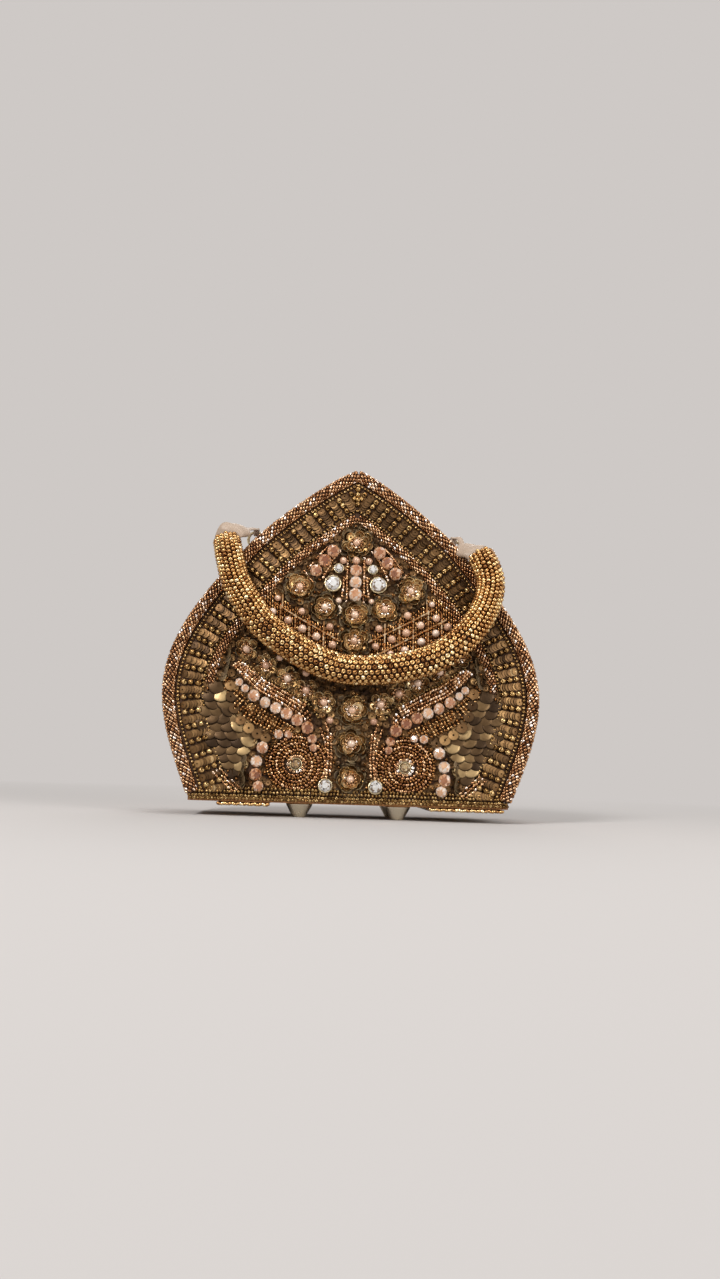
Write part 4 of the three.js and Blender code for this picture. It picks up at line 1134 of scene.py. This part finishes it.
frontPieces = [
    joined("front_sequins",
           sewn("barSequins", bothSides(barSequins), flatSequin, oliveSequin, 21, 0.05, 0.08, 0.2),
           sewn("sownSequins", sownSequins, cupSequin, oliveSequin, 22, 0.15, 0.22, 0.25)),
    sewn("front_scale_sequins", scalePieces, scaleSequin, satinScale, 23, 0.03, 0.03, 0.2),
    joined("front_petals",
           sewn("petals", merged(*flowerGoods["petals"]), cupSequin, petalGold, 24, 0.06, 0.1, 0.25),
           sewn("holedSequins", holed, flatSequin, oliveSequin, 25, 0.06, 0.08, 0.25)),
    joined("front_smoky_sequins",
           sewn("smokes", merged(*flowerGoods["smokes"]), flatSequin, smoke, 26, 0.08, 0.08, 0.25),
           sewn("smokeRows", smokeRows, flatSequin, smoke, 27, 0.08, 0.1, 0.25)),
    joined("front_olive_beads",
           sewn("barBeads", bothSides(barBeads), squareBead, oliveBead, 28, 0.06, 0.12, 0.25),
           sewn("rowBeads", bothSides(rowBeads), seedBead, oliveBead, 29, 0.08, 0.2, 0.3),
           sewn("leafRounds", leafRounds, seedBead, oliveBead, 30, 0.1, 0.3, 0.3),
           sewn("footRows", footRows, seedBead, oliveBead, 31, 0.1, 0.3, 0.3)),
    joined("front_cut_beads",
           sewn("innerCord", bothSides(innerBeads), riceBead, roseGold, 32, 0.08, 0.08, 0.34),
           sewn("ringBeads", merged(*flowerGoods["ringBeads"], heartRing), seedBead, roseGold, 33,
                0.08, 0.2, 0.35),
           sewn("aboveBeads", aboveBeads, riceBead, roseGold, 34, 0.08, 0.15, 0.35),
           sewn("scrollCuts", scrollCuts, riceBead, roseGold, 35, 0.1, 0.15, 0.35),
           sewn("column", column, riceBead, roseGold, 36, 0.1, 0.15, 0.35),
           sewn("shortCord", shortCord, riceBead, roseGold, 37, 0.1, 0.15, 0.35)),
    joined("front_red_brown_beads",
           sewn("belowBeads", belowBeads, seedBead, brownBead, 38, 0.08, 0.14, 0.3),
           sewn("scrollRounds", scrollRounds, seedBead, brownBead, 39, 0.1, 0.2, 0.3),
           sewn("sownBeads", sownBeads, seedBead, brownBead, 48, 0.1, 0.3, 0.3),
           sewn("latticeGround", latticeGround, riceBead, brownBead, 49, 0.06, 0.1, 0.25)),
    sewn("front_crystals", crystals, rondelle, peach, 40, 0.04, 0.15, 0.25),
    joined("front_pearls",
           sewn("flowerPearls", merged(*flowerGoods["pearls"]), pearlShape, pearl, 41, 0.04, 0.1, 0.2),
           sewn("rowPearls", morePearls, pearlShape, pearl, 42, 0.04, 0.1, 0.2)),
    joined("front_stones",
           sewn("stones", stones, cutStone, clear, 43, 0.02, 0.1, 0.2),
           sewn("heartStones", heartStone, cutStone, smokyStone, 44, 0.02, 0.1, 0.2)),
    joined("front_stone_cups",
           sewn("stoneCups", stones, stoneCup, brass, 45, 0.0, 0.0, 0.1),
           sewn("heartCups", heartCup, stoneCup, brass, 46, 0.0, 0.0, 0.1)),
    sewn("front_bugles", bugles, cutBead, bugleGold, 47, 0.05, 0.06, 0.3),
]
for piece in frontPieces:
    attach(piece, "front_and_base")
print("front sewn")

# Bead bands across the underside of the base: zigzag rows of longer beads, and a row at each end.
bands = {
    "left": (-67.0, -41.25), "right": (41.25, 80.0), "top": 7.0, "halfDepth": 27.0, "bead": [1.7, 1.7, 2.3],
    "pitch": 2.6, "step": 1.75, "sway": 0.6, "sunk": 0.8, "backing": 0.35,
    "endPitch": 1.9, "endSway": 0.5, "endOut": 0.6,
}


def bandLayout(low, high, size):
    z, end = size["top"] - size["sunk"], size["halfDepth"] + size["endOut"]
    places, facings = [], []
    for i, x in enumerate(np.arange(low + 0.9, high - 0.6, size["pitch"])):
        for y in np.arange(-size["halfDepth"], size["halfDepth"], size["step"]):
            places.append((x, y + panel["middle"], z))
            facings.append((size["sway"] if i % 2 else -size["sway"], 1.0, 0.0))
    for y in (-end, end):
        for i, x in enumerate(np.arange(low + 0.6, high - 0.4, size["endPitch"])):
            places.append((x, y + panel["middle"], z))
            facings.append((1.0, 0.0, size["endSway"] if i % 2 else -size["endSway"]))
    tone = dice.uniform(0.4, 0.9, len(places))
    return layout(np.array(places) * 0.001, [0, 0, -1.0], unit(np.array(facings)), size["bead"], tone)


def bandBacking(low, high, size):  # a thin dark sheet behind the beads, painted shade in the gaps between them
    mesh = bpy.data.meshes.new("bandBacking")
    work = bmesh.new()
    bmesh.ops.create_cube(work, size=1.0)
    for vert in work.verts:
        x = (low + high) / 2 + vert.co.x * (high - low)
        y = panel["middle"] + vert.co.y * 2 * size["halfDepth"]
        z = size["top"] - size["backing"] + vert.co.z * 0.5
        vert.co = Vector((x, y, z)) * 0.001
    work.to_mesh(mesh)
    work.free()
    return mesh


for side, (low, high) in (("left", bands["left"]), ("right", bands["right"])):
    band = sewn(f"base_bead_band_beads_{side}", bandLayout(low, high, bands), riceBead, yellowGold, 51,
                0.08, 0.1, 0.3, False)
    backing = addObject("bandBacking", bandBacking(low, high, bands), gapShadeCloth)
    band = joined(f"base_bead_band_beads_{side}", band, backing)
    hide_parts(f"base_bead_band_{side}")
    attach(band, "front_and_base")

# Two rows of small beads along the front of the base.
baseEdge = {"half": 81.5, "pitch": 1.78, "out": 0.5,
            "rows": [{"z": 10.3, "bead": 1.8, "shift": 0.0}, {"z": 8.8, "bead": 1.7, "shift": 0.9}]}
frontRows = []
for row in baseEdge["rows"]:
    x = np.arange(-baseEdge["half"] + row["shift"], baseEdge["half"] + 0.1, baseEdge["pitch"])
    place = np.stack([x, np.full(len(x), baseLow[1] - baseEdge["out"]), np.full(len(x), row["z"])], 1)
    place = place + dice.normal(0, 0.1, place.shape)
    facing = unit(np.array([[0.0, -1.0, 0.0]]) + dice.normal(0, 0.35, place.shape))
    frontRows.append(layout(place * 0.001, [1, 0, 0], facing, row["bead"], dice.uniform(0.2, 0.8, len(x))))
baseRows = sewn("base_front_beads", merged(*frontRows), seedBead, oliveBead, 52, 0.1, 0.2, 0.3, False)
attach(baseRows, "front_and_base")
print("base bands sewn")

# The handle: strings of beads round a rope, tight at its ends and opening out along the middle.
handle = {
    "run": [(-69.5, 133, 8), (-67, 122, 12.4), (-63.5, 110, 13.2), (-57, 98.5, 13.2), (-48.5, 87, 13.2),
            (-36, 77.5, 13.2), (-22, 69.5, 13.2), (-7, 64.5, 13.2), (10, 64.3, 13.2), (27, 67, 13.2),
            (44, 73, 13.2), (59, 85.5, 13.2), (68, 99.5, 13.2), (71.2, 113, 13.2), (69.2, 122.6, 12.4),
            (66.6, 130.0, 9.2)],
    "radius": 8.0, "endRadius": 7.4, "strings": 16, "bead": 2.85, "endPitch": 1.95, "pitch": 2.8,
    "sunk": 1.25, "ropeIn": 1.9, "ropeStep": 6, "endTilt": 12, "tilt": 57, "tightRun": 26, "openRun": 62,
}


def blended(t, low, high, first, last):
    return ((high - t) * first + (t - low) * last) / (high - low)


def smoothRun(points, each=24):  # centripetal Catmull-Rom
    p = np.array(points, float)
    p = np.concatenate([[2 * p[0] - p[1]], p, [2 * p[-1] - p[-2]]])
    made = []
    for i in range(1, len(p) - 2):
        a, b, c, d = p[i - 1], p[i], p[i + 1], p[i + 2]
        t0 = 0.0
        t1 = t0 + np.linalg.norm(b - a) ** 0.5
        t2 = t1 + np.linalg.norm(c - b) ** 0.5
        t3 = t2 + np.linalg.norm(d - c) ** 0.5
        t = np.linspace(t1, t2, each, endpoint=False)[:, None]
        ab, bc, cd = blended(t, t0, t1, a, b), blended(t, t1, t2, b, c), blended(t, t2, t3, c, d)
        made.append(blended(t, t1, t2, blended(t, t0, t2, ab, bc), blended(t, t1, t3, bc, cd)))
    made.append(p[-2:-1])
    return np.concatenate(made)


def carried(points, tangents, start):  # a normal carried along the line without twist
    normals = [unit(start - np.dot(start, tangents[0]) * tangents[0])]
    for tangent in tangents[1:]:
        turned = normals[-1] - np.dot(normals[-1], tangent) * tangent
        normals.append(unit(turned))
    return np.array(normals)


runPoints, runWays, runAt = resampled(smoothRun(handle["run"]), 0.5)
runNormals = carried(runPoints, runWays, outward)
runBinormals = np.cross(runWays, runNormals)
runLength = runAt[-1]
narrowing = np.abs(2 * runAt / runLength - 1) ** 3
runRadius = handle["radius"] - (handle["radius"] - handle["endRadius"]) * narrowing


def handleLayout(size):
    fromEnd = np.minimum(runAt, runLength - runAt)
    openness = np.clip((fromEnd - size["tightRun"]) / (size["openRun"] - size["tightRun"]), 0, 1)
    openness = openness * openness * (3 - 2 * openness)
    pitch = size["endPitch"] + (size["pitch"] - size["endPitch"]) * openness
    counted = np.concatenate([[0], np.cumsum(0.5 * (1 / pitch[1:] + 1 / pitch[:-1]) * np.diff(runAt))])
    places, facings, alongs = [], [], []
    for k in range(size["strings"]):
        number = np.arange(0.3 + 0.5 * (k % 2), counted[-1] - 0.1, 1.0)
        at = np.interp(number, counted, runAt)
        angle = 2 * math.pi * k / size["strings"]
        lines = (runPoints, runWays, runNormals, runBinormals)
        centre, way, normal, side = (atRun(rows, runAt, at) for rows in lines)
        radius = np.interp(at, runAt, runRadius) - size["sunk"]
        out = unit(normal * math.cos(angle) + side * math.sin(angle))
        openHere = np.interp(at, runAt, openness)
        tilt = np.radians(size["endTilt"] + (size["tilt"] - size["endTilt"]) * openHere)
        tilt = tilt + dice.normal(0, 0.16, len(at))
        places.append(centre + out * radius[:, None])
        facings.append(way * np.cos(tilt)[:, None] + out * np.sin(tilt)[:, None])
        alongs.append(np.cross(way, out))
    places, alongs, facings = (np.concatenate(rows) for rows in (places, alongs, facings))
    return layout(places, alongs, facings, size["bead"], dice.uniform(0.25, 0.75, len(places)))


def tubeMesh(name, centres, normals, binormals, wide, thick, sides):  # a closed tube with oval sections
    verts = []
    for centre, n, b, w, t in zip(centres, normals, binormals, wide, thick):
        for j in range(sides):
            a = 2 * math.pi * j / sides
            verts.append(centre + n * t * math.cos(a) + b * w * math.sin(a))
    return facedOut(meshFrom(name, verts, tubeFaces(len(centres), sides), True))


handleBeads = sewn("handle_bead_strings", handleLayout(handle), seedBead, yellowGold, 61, 0.05, 0.1, 0.35)
pick = np.arange(0, len(runAt), handle["ropeStep"])
ropeRadius = (runRadius[pick] - handle["ropeIn"]) * 0.001
# the dark rope round the core is painted shade between the strung beads
tube = tubeMesh("handle_rope", onFront(runPoints[pick]), runNormals[pick] @ panelAxes,
                runBinormals[pick] @ panelAxes, ropeRadius, ropeRadius, 20)
handleRope = addObject("handle_rope", tube, gapShadeCloth)
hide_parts("handle_bead_sleeve")
for piece in (handleBeads, handleRope):
    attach(piece, "handle")
print("handle strung:", len(handleBeads.data.polygons), "faces")

# Soft tongues from the handle's ends to the rings.
tongue = {
    "wide": 6.7, "thick": 2.6, "loopWide": 1.5, "loopThick": 0.55, "ringX": 55.0, "pivot": 154.263,
    "bore": 1.45, "wall": 2.3, "loopHalf": 1.6, "soft": 0.25, "inside": 12, "rootRun": 5.0,
    "left": [(2.2, -1.0, 4.6), (6.2, 2.6, 6.4)], "right": [(-3.0, 2.4, 2.6), (-7.0, 7.4, 4.6)],
    "toRing": [(2.2, -5.4, 0.4), (0.6, -3.4, 0.9), (0, -1.7, 1.15)],
}


def tongueMesh(hand, size):
    end, within = (0, size["inside"]) if hand < 0 else (-1, -size["inside"] - 1)
    mouth = onFront(runPoints[end])[0] * 1000
    inner = onFront(runPoints[within])[0] * 1000
    top = np.array([hand * size["ringX"], panel["middle"], size["pivot"]])
    bends = [mouth + np.array(step) for step in size["left" if hand < 0 else "right"]]
    path = [inner, mouth, *bends, *(top + [hand * x, y, z] for x, y, z in size["toRing"])]
    line, ways, at = resampled(smoothRun(path), 0.4)
    bendsEnd = int(np.argmin(np.linalg.norm(line - bends[1], axis=1)))
    side = np.array([1.0, 0.0, 0.35 * hand])
    across = unit(side - np.sum(ways * side, 1)[:, None] * ways)
    up = np.cross(ways, across)
    past = np.clip((at - at[bendsEnd] + 1.0) / size["wide"], 0, 1)  # the tab's end is rounded off
    tab = size["wide"] * np.sqrt(1 - 0.98 * past**2)
    root = np.clip(at / size["rootRun"], 0, 1)
    wide = np.maximum(tab * (0.66 + 0.34 * root), size["loopWide"])
    thick = size["loopThick"] + (size["thick"] - size["loopThick"]) * np.sqrt(1 - past**2)
    return tubeMesh("tongue", line * 0.001, up, across, wide * 0.001, thick * 0.001, 18)


def tongueLoop(hand, size):  # the loop lies round the wire and turns on it
    half, soft, bore, wall = size["loopHalf"], size["soft"], size["bore"], size["wall"]
    profile = [(bore, -half + soft), (bore + soft, -half), (wall - soft, -half), (wall, -half + soft),
               (wall, half - soft), (wall - soft, half), (bore + soft, half), (bore, half - soft)]
    mesh = lathed("tongueLoop", profile, 24, ring=True)
    across, pivot = hand * size["ringX"] * 0.001, size["pivot"] * 0.001
    place = Matrix.Translation((across, panel["middle"] * 0.001, pivot))
    mesh.transform(place @ Matrix.Rotation(math.pi / 2, 4, "Y") @ Matrix.Scale(0.001, 4))
    return mesh


for hand, side in ((-1, "left"), (1, "right")):
    strip = addObject("tongue", tongueMesh(hand, tongue), softLeather)
    loop = addObject("tongueLoop", tongueLoop(hand, tongue), softLeather)
    tonguePiece = joined(f"handle_tongue_{side}", strip, loop)
    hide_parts(f"handle_strap_{side}")
    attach(tonguePiece, "handle")
print("tongues shaped")

# Side gussets: cloth creased inward, soft between the two boards.
gusset = {
    "inset": 2.4, "foot": 0.4, "top": 130.0, "footFold": 4.5, "topFold": 9.0, "behind": 3.2, "thick": 1.2,
    "rows": 44, "columns": 16, "wrinkle": 0.7,
}


def halfWidth(height):
    line = edgeCurve()
    return float(np.interp(height, line[:, 1], line[:, 0]))


def gussetMesh(hand, size):
    verts, faces, wide = [], [], size["columns"] + 1
    top = size["top"] * math.cos(lean)
    for layer in (0, 1):
        for i in range(size["rows"] + 1):
            share = i / size["rows"]
            rise = size["foot"] + (top - size["foot"]) * share
            v = rise / math.cos(lean)
            y = panel["footDepth"] - v * math.sin(lean) - size["behind"]
            x = halfWidth(v) - size["inset"]
            fold = size["footFold"] + (size["topFold"] - size["footFold"]) * share
            for j in range(wide):
                s = 2 * j / size["columns"] - 1
                crease = (1 - abs(s) ** 1.35) + 0.05 * math.sin(9 * share + 5 * s) * (1 - s * s)
                waves = math.sin(21 * share + 3.3 * s + hand), math.sin(9 * share * s + 1.0)
                wrinkle = size["wrinkle"] * waves[0] * waves[1] * (1 - s * s)
                px = x - fold * crease - layer * size["thick"] + wrinkle
                verts.append((hand * px, panel["middle"] + s * y, panel["foot"] + rise))
    half = (size["rows"] + 1) * wide
    for layer in (0, half):
        for i in range(size["rows"]):
            for j in range(size["columns"]):
                a = layer + i * wide + j
                faces.append((a, a + 1, a + wide + 1, a + wide))
    rim = [(0, j) for j in range(size["columns"])]
    rim += [(i, size["columns"]) for i in range(size["rows"])]
    rim += [(size["rows"], j) for j in range(size["columns"], 0, -1)]
    rim += [(i, 0) for i in range(size["rows"], 0, -1)]
    for (i, j), (k, m) in zip(rim, rim[1:] + rim[:1]):
        a, b = i * wide + j, k * wide + m
        faces.append((a, b, half + b, half + a))
    return facedOut(meshFrom(f"gusset{hand}", np.array(verts) * 0.001, faces, True))


for hand, side in ((-1, "left"), (1, "right")):
    gussetPiece = addObject(f"gusset_cloth_{side}", gussetMesh(hand, gusset), velvet)
    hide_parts(f"gusset_{side}")
    reach = 0.02
    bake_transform(gussetPiece)
print("gussets folded")

# Smooth turned feet in the places of the studs.
foot = {
    "profile": [(0.02, 0), (2.7, 0), (3.1, 0.1), (3.4, 0.45), (3.8, 1.0), (6.78, 6.2), (6.9, 6.6),
                (6.85, 7.15), (1.5, 7.2), (1.5, 11.3), (0.02, 11.3)],
    "sides": 40,
}
for label in ("front_left", "front_right", "back_left", "back_right"):
    low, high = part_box(f"stud_{label}")
    turned = lathed("foot", foot["profile"], foot["sides"])
    under = Matrix.Translation(((low[0] + high[0]) / 2, (low[1] + high[1]) / 2, low[2]))
    turned.transform(under @ Matrix.Scale(0.001, 4))
    footPiece = addObject(f"foot_{label}", turned, champagne)
    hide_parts(f"stud_{label}")
    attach(footPiece, "front_and_base")
print("feet turned")

for obj in shapes.values():  # the patterns themselves stay out of the scene
    mesh = obj.data
    bpy.data.objects.remove(obj)
    bpy.data.meshes.remove(mesh)

# Floor, light and camera.
stageSize = {"floor": 12.0, "backdrop": (206, 201, 198), "near": 0.16, "far": 0.75, "worldLight": 0.32}


def seenByEye(tree):  # nought for light that only falls on other things
    rays = tree.nodes.new("ShaderNodeLightPath")
    straight = mathNode(tree, "MAXIMUM", rays.outputs["Is Camera Ray"], rays.outputs["Is Glossy Ray"])
    return mathNode(tree, "MAXIMUM", straight, rays.outputs["Is Transmission Ray"])


def stageFloor(size):
    material = bpy.data.materials.new("paleFloor")
    material.use_nodes = True
    tree = material.node_tree
    tree.nodes.clear()
    made = tree.nodes.new("ShaderNodeOutputMaterial")
    mix = tree.nodes.new("ShaderNodeMixShader")
    matte, glow = tree.nodes.new("ShaderNodeBsdfDiffuse"), tree.nodes.new("ShaderNodeEmission")
    matte.inputs["Color"].default_value = tint(*size["backdrop"])
    glow.inputs["Color"].default_value = tint(*size["backdrop"])
    where = tree.nodes.new("ShaderNodeTexCoord").outputs["Object"]
    length = tree.nodes.new("ShaderNodeVectorMath")
    length.operation = "LENGTH"
    link(tree, where, length.inputs[0])
    seen = seenByEye(tree)
    away = ranged(tree, length.outputs["Value"], 0.0, 1.0, size["near"], size["far"])
    link(tree, mathNode(tree, "MULTIPLY", seen, away), mix.inputs[0])
    link(tree, matte.outputs[0], mix.inputs[1])
    link(tree, glow.outputs[0], mix.inputs[2])
    link(tree, mix.outputs[0], made.inputs[0])
    half = size["floor"] / 2
    corners = [(-half, -half, 0), (half, -half, 0), (half, half, 0), (-half, half, 0)]
    return addObject("floor", meshFrom("floor", corners, [(0, 1, 2, 3)]), material)


stageFloor(stageSize)
world = bpy.data.worlds.new("studio")
scene.world = world
world.use_nodes = True
tree = world.node_tree
tree.nodes.clear()
made = tree.nodes.new("ShaderNodeOutputWorld")
mix = tree.nodes.new("ShaderNodeMixShader")
lit, seenAs = tree.nodes.new("ShaderNodeBackground"), tree.nodes.new("ShaderNodeBackground")
lit.inputs["Color"].default_value = (1, 0.99, 0.97, 1)
lit.inputs["Strength"].default_value = stageSize["worldLight"]
seenAs.inputs["Color"].default_value = tint(*stageSize["backdrop"])
link(tree, seenByEye(tree), mix.inputs[0])
link(tree, lit.outputs[0], mix.inputs[1])
link(tree, seenAs.outputs[0], mix.inputs[2])
link(tree, mix.outputs[0], made.inputs[0])

lamps = {
    "key": {"at": (-0.5, -0.75, 0.75), "size": 0.28, "power": 7.4},
    "fill": {"at": (0.7, -0.7, 0.35), "size": 0.5, "power": 4.0},
    "top": {"at": (0.1, -0.1, 1.1), "size": 0.4, "power": 2.4},
    "rear": {"at": (0.2, 0.9, 0.6), "size": 0.6, "power": 3.0},
}
aim = Vector((0, 0, 0.09))
for label, size in lamps.items():
    lamp = bpy.data.lights.new(label, "AREA")
    lamp.shape, lamp.size, lamp.energy = "SQUARE", size["size"], size["power"]
    obj = bpy.data.objects.new(label, lamp)
    scene.collection.objects.link(obj)
    obj.location = size["at"]
    obj.rotation_euler = (aim - obj.location).to_track_quat("-Z", "Y").to_euler()

view = {"at": (-0.0266, -0.5179, 0.0243), "target": (-0.0013, -0.011, 0.0911), "roll": 1.9, "sensor": 36,
        "focal": 960, "long": 1279, "shift": (9, 5.5)}
camera = bpy.data.cameras.new("camera")
camera.sensor_width = view["sensor"]
camera.lens = view["sensor"] * view["focal"] / view["long"]
camera.shift_x, camera.shift_y = view["shift"][0] / view["long"], view["shift"][1] / view["long"]
camera.clip_start = 0.01
cameraObject = bpy.data.objects.new("camera", camera)
scene.collection.objects.link(cameraObject)
look = (Vector(view["target"]) - Vector(view["at"])).to_track_quat("-Z", "Y").to_matrix()
look = look @ Matrix.Rotation(math.radians(view["roll"]), 3, "Z")
cameraObject.matrix_world = Matrix.Translation(view["at"]) @ look.to_4x4()
scene.camera = cameraObject
scene.view_settings.view_transform = "Standard"
print("floor, lights and camera set")

shown = [obj for obj in scene.objects if obj.type == "MESH" and not obj.hide_render]
print("triangles in all:", sum(len(p.vertices) - 2 for obj in shown for p in obj.data.polygons))
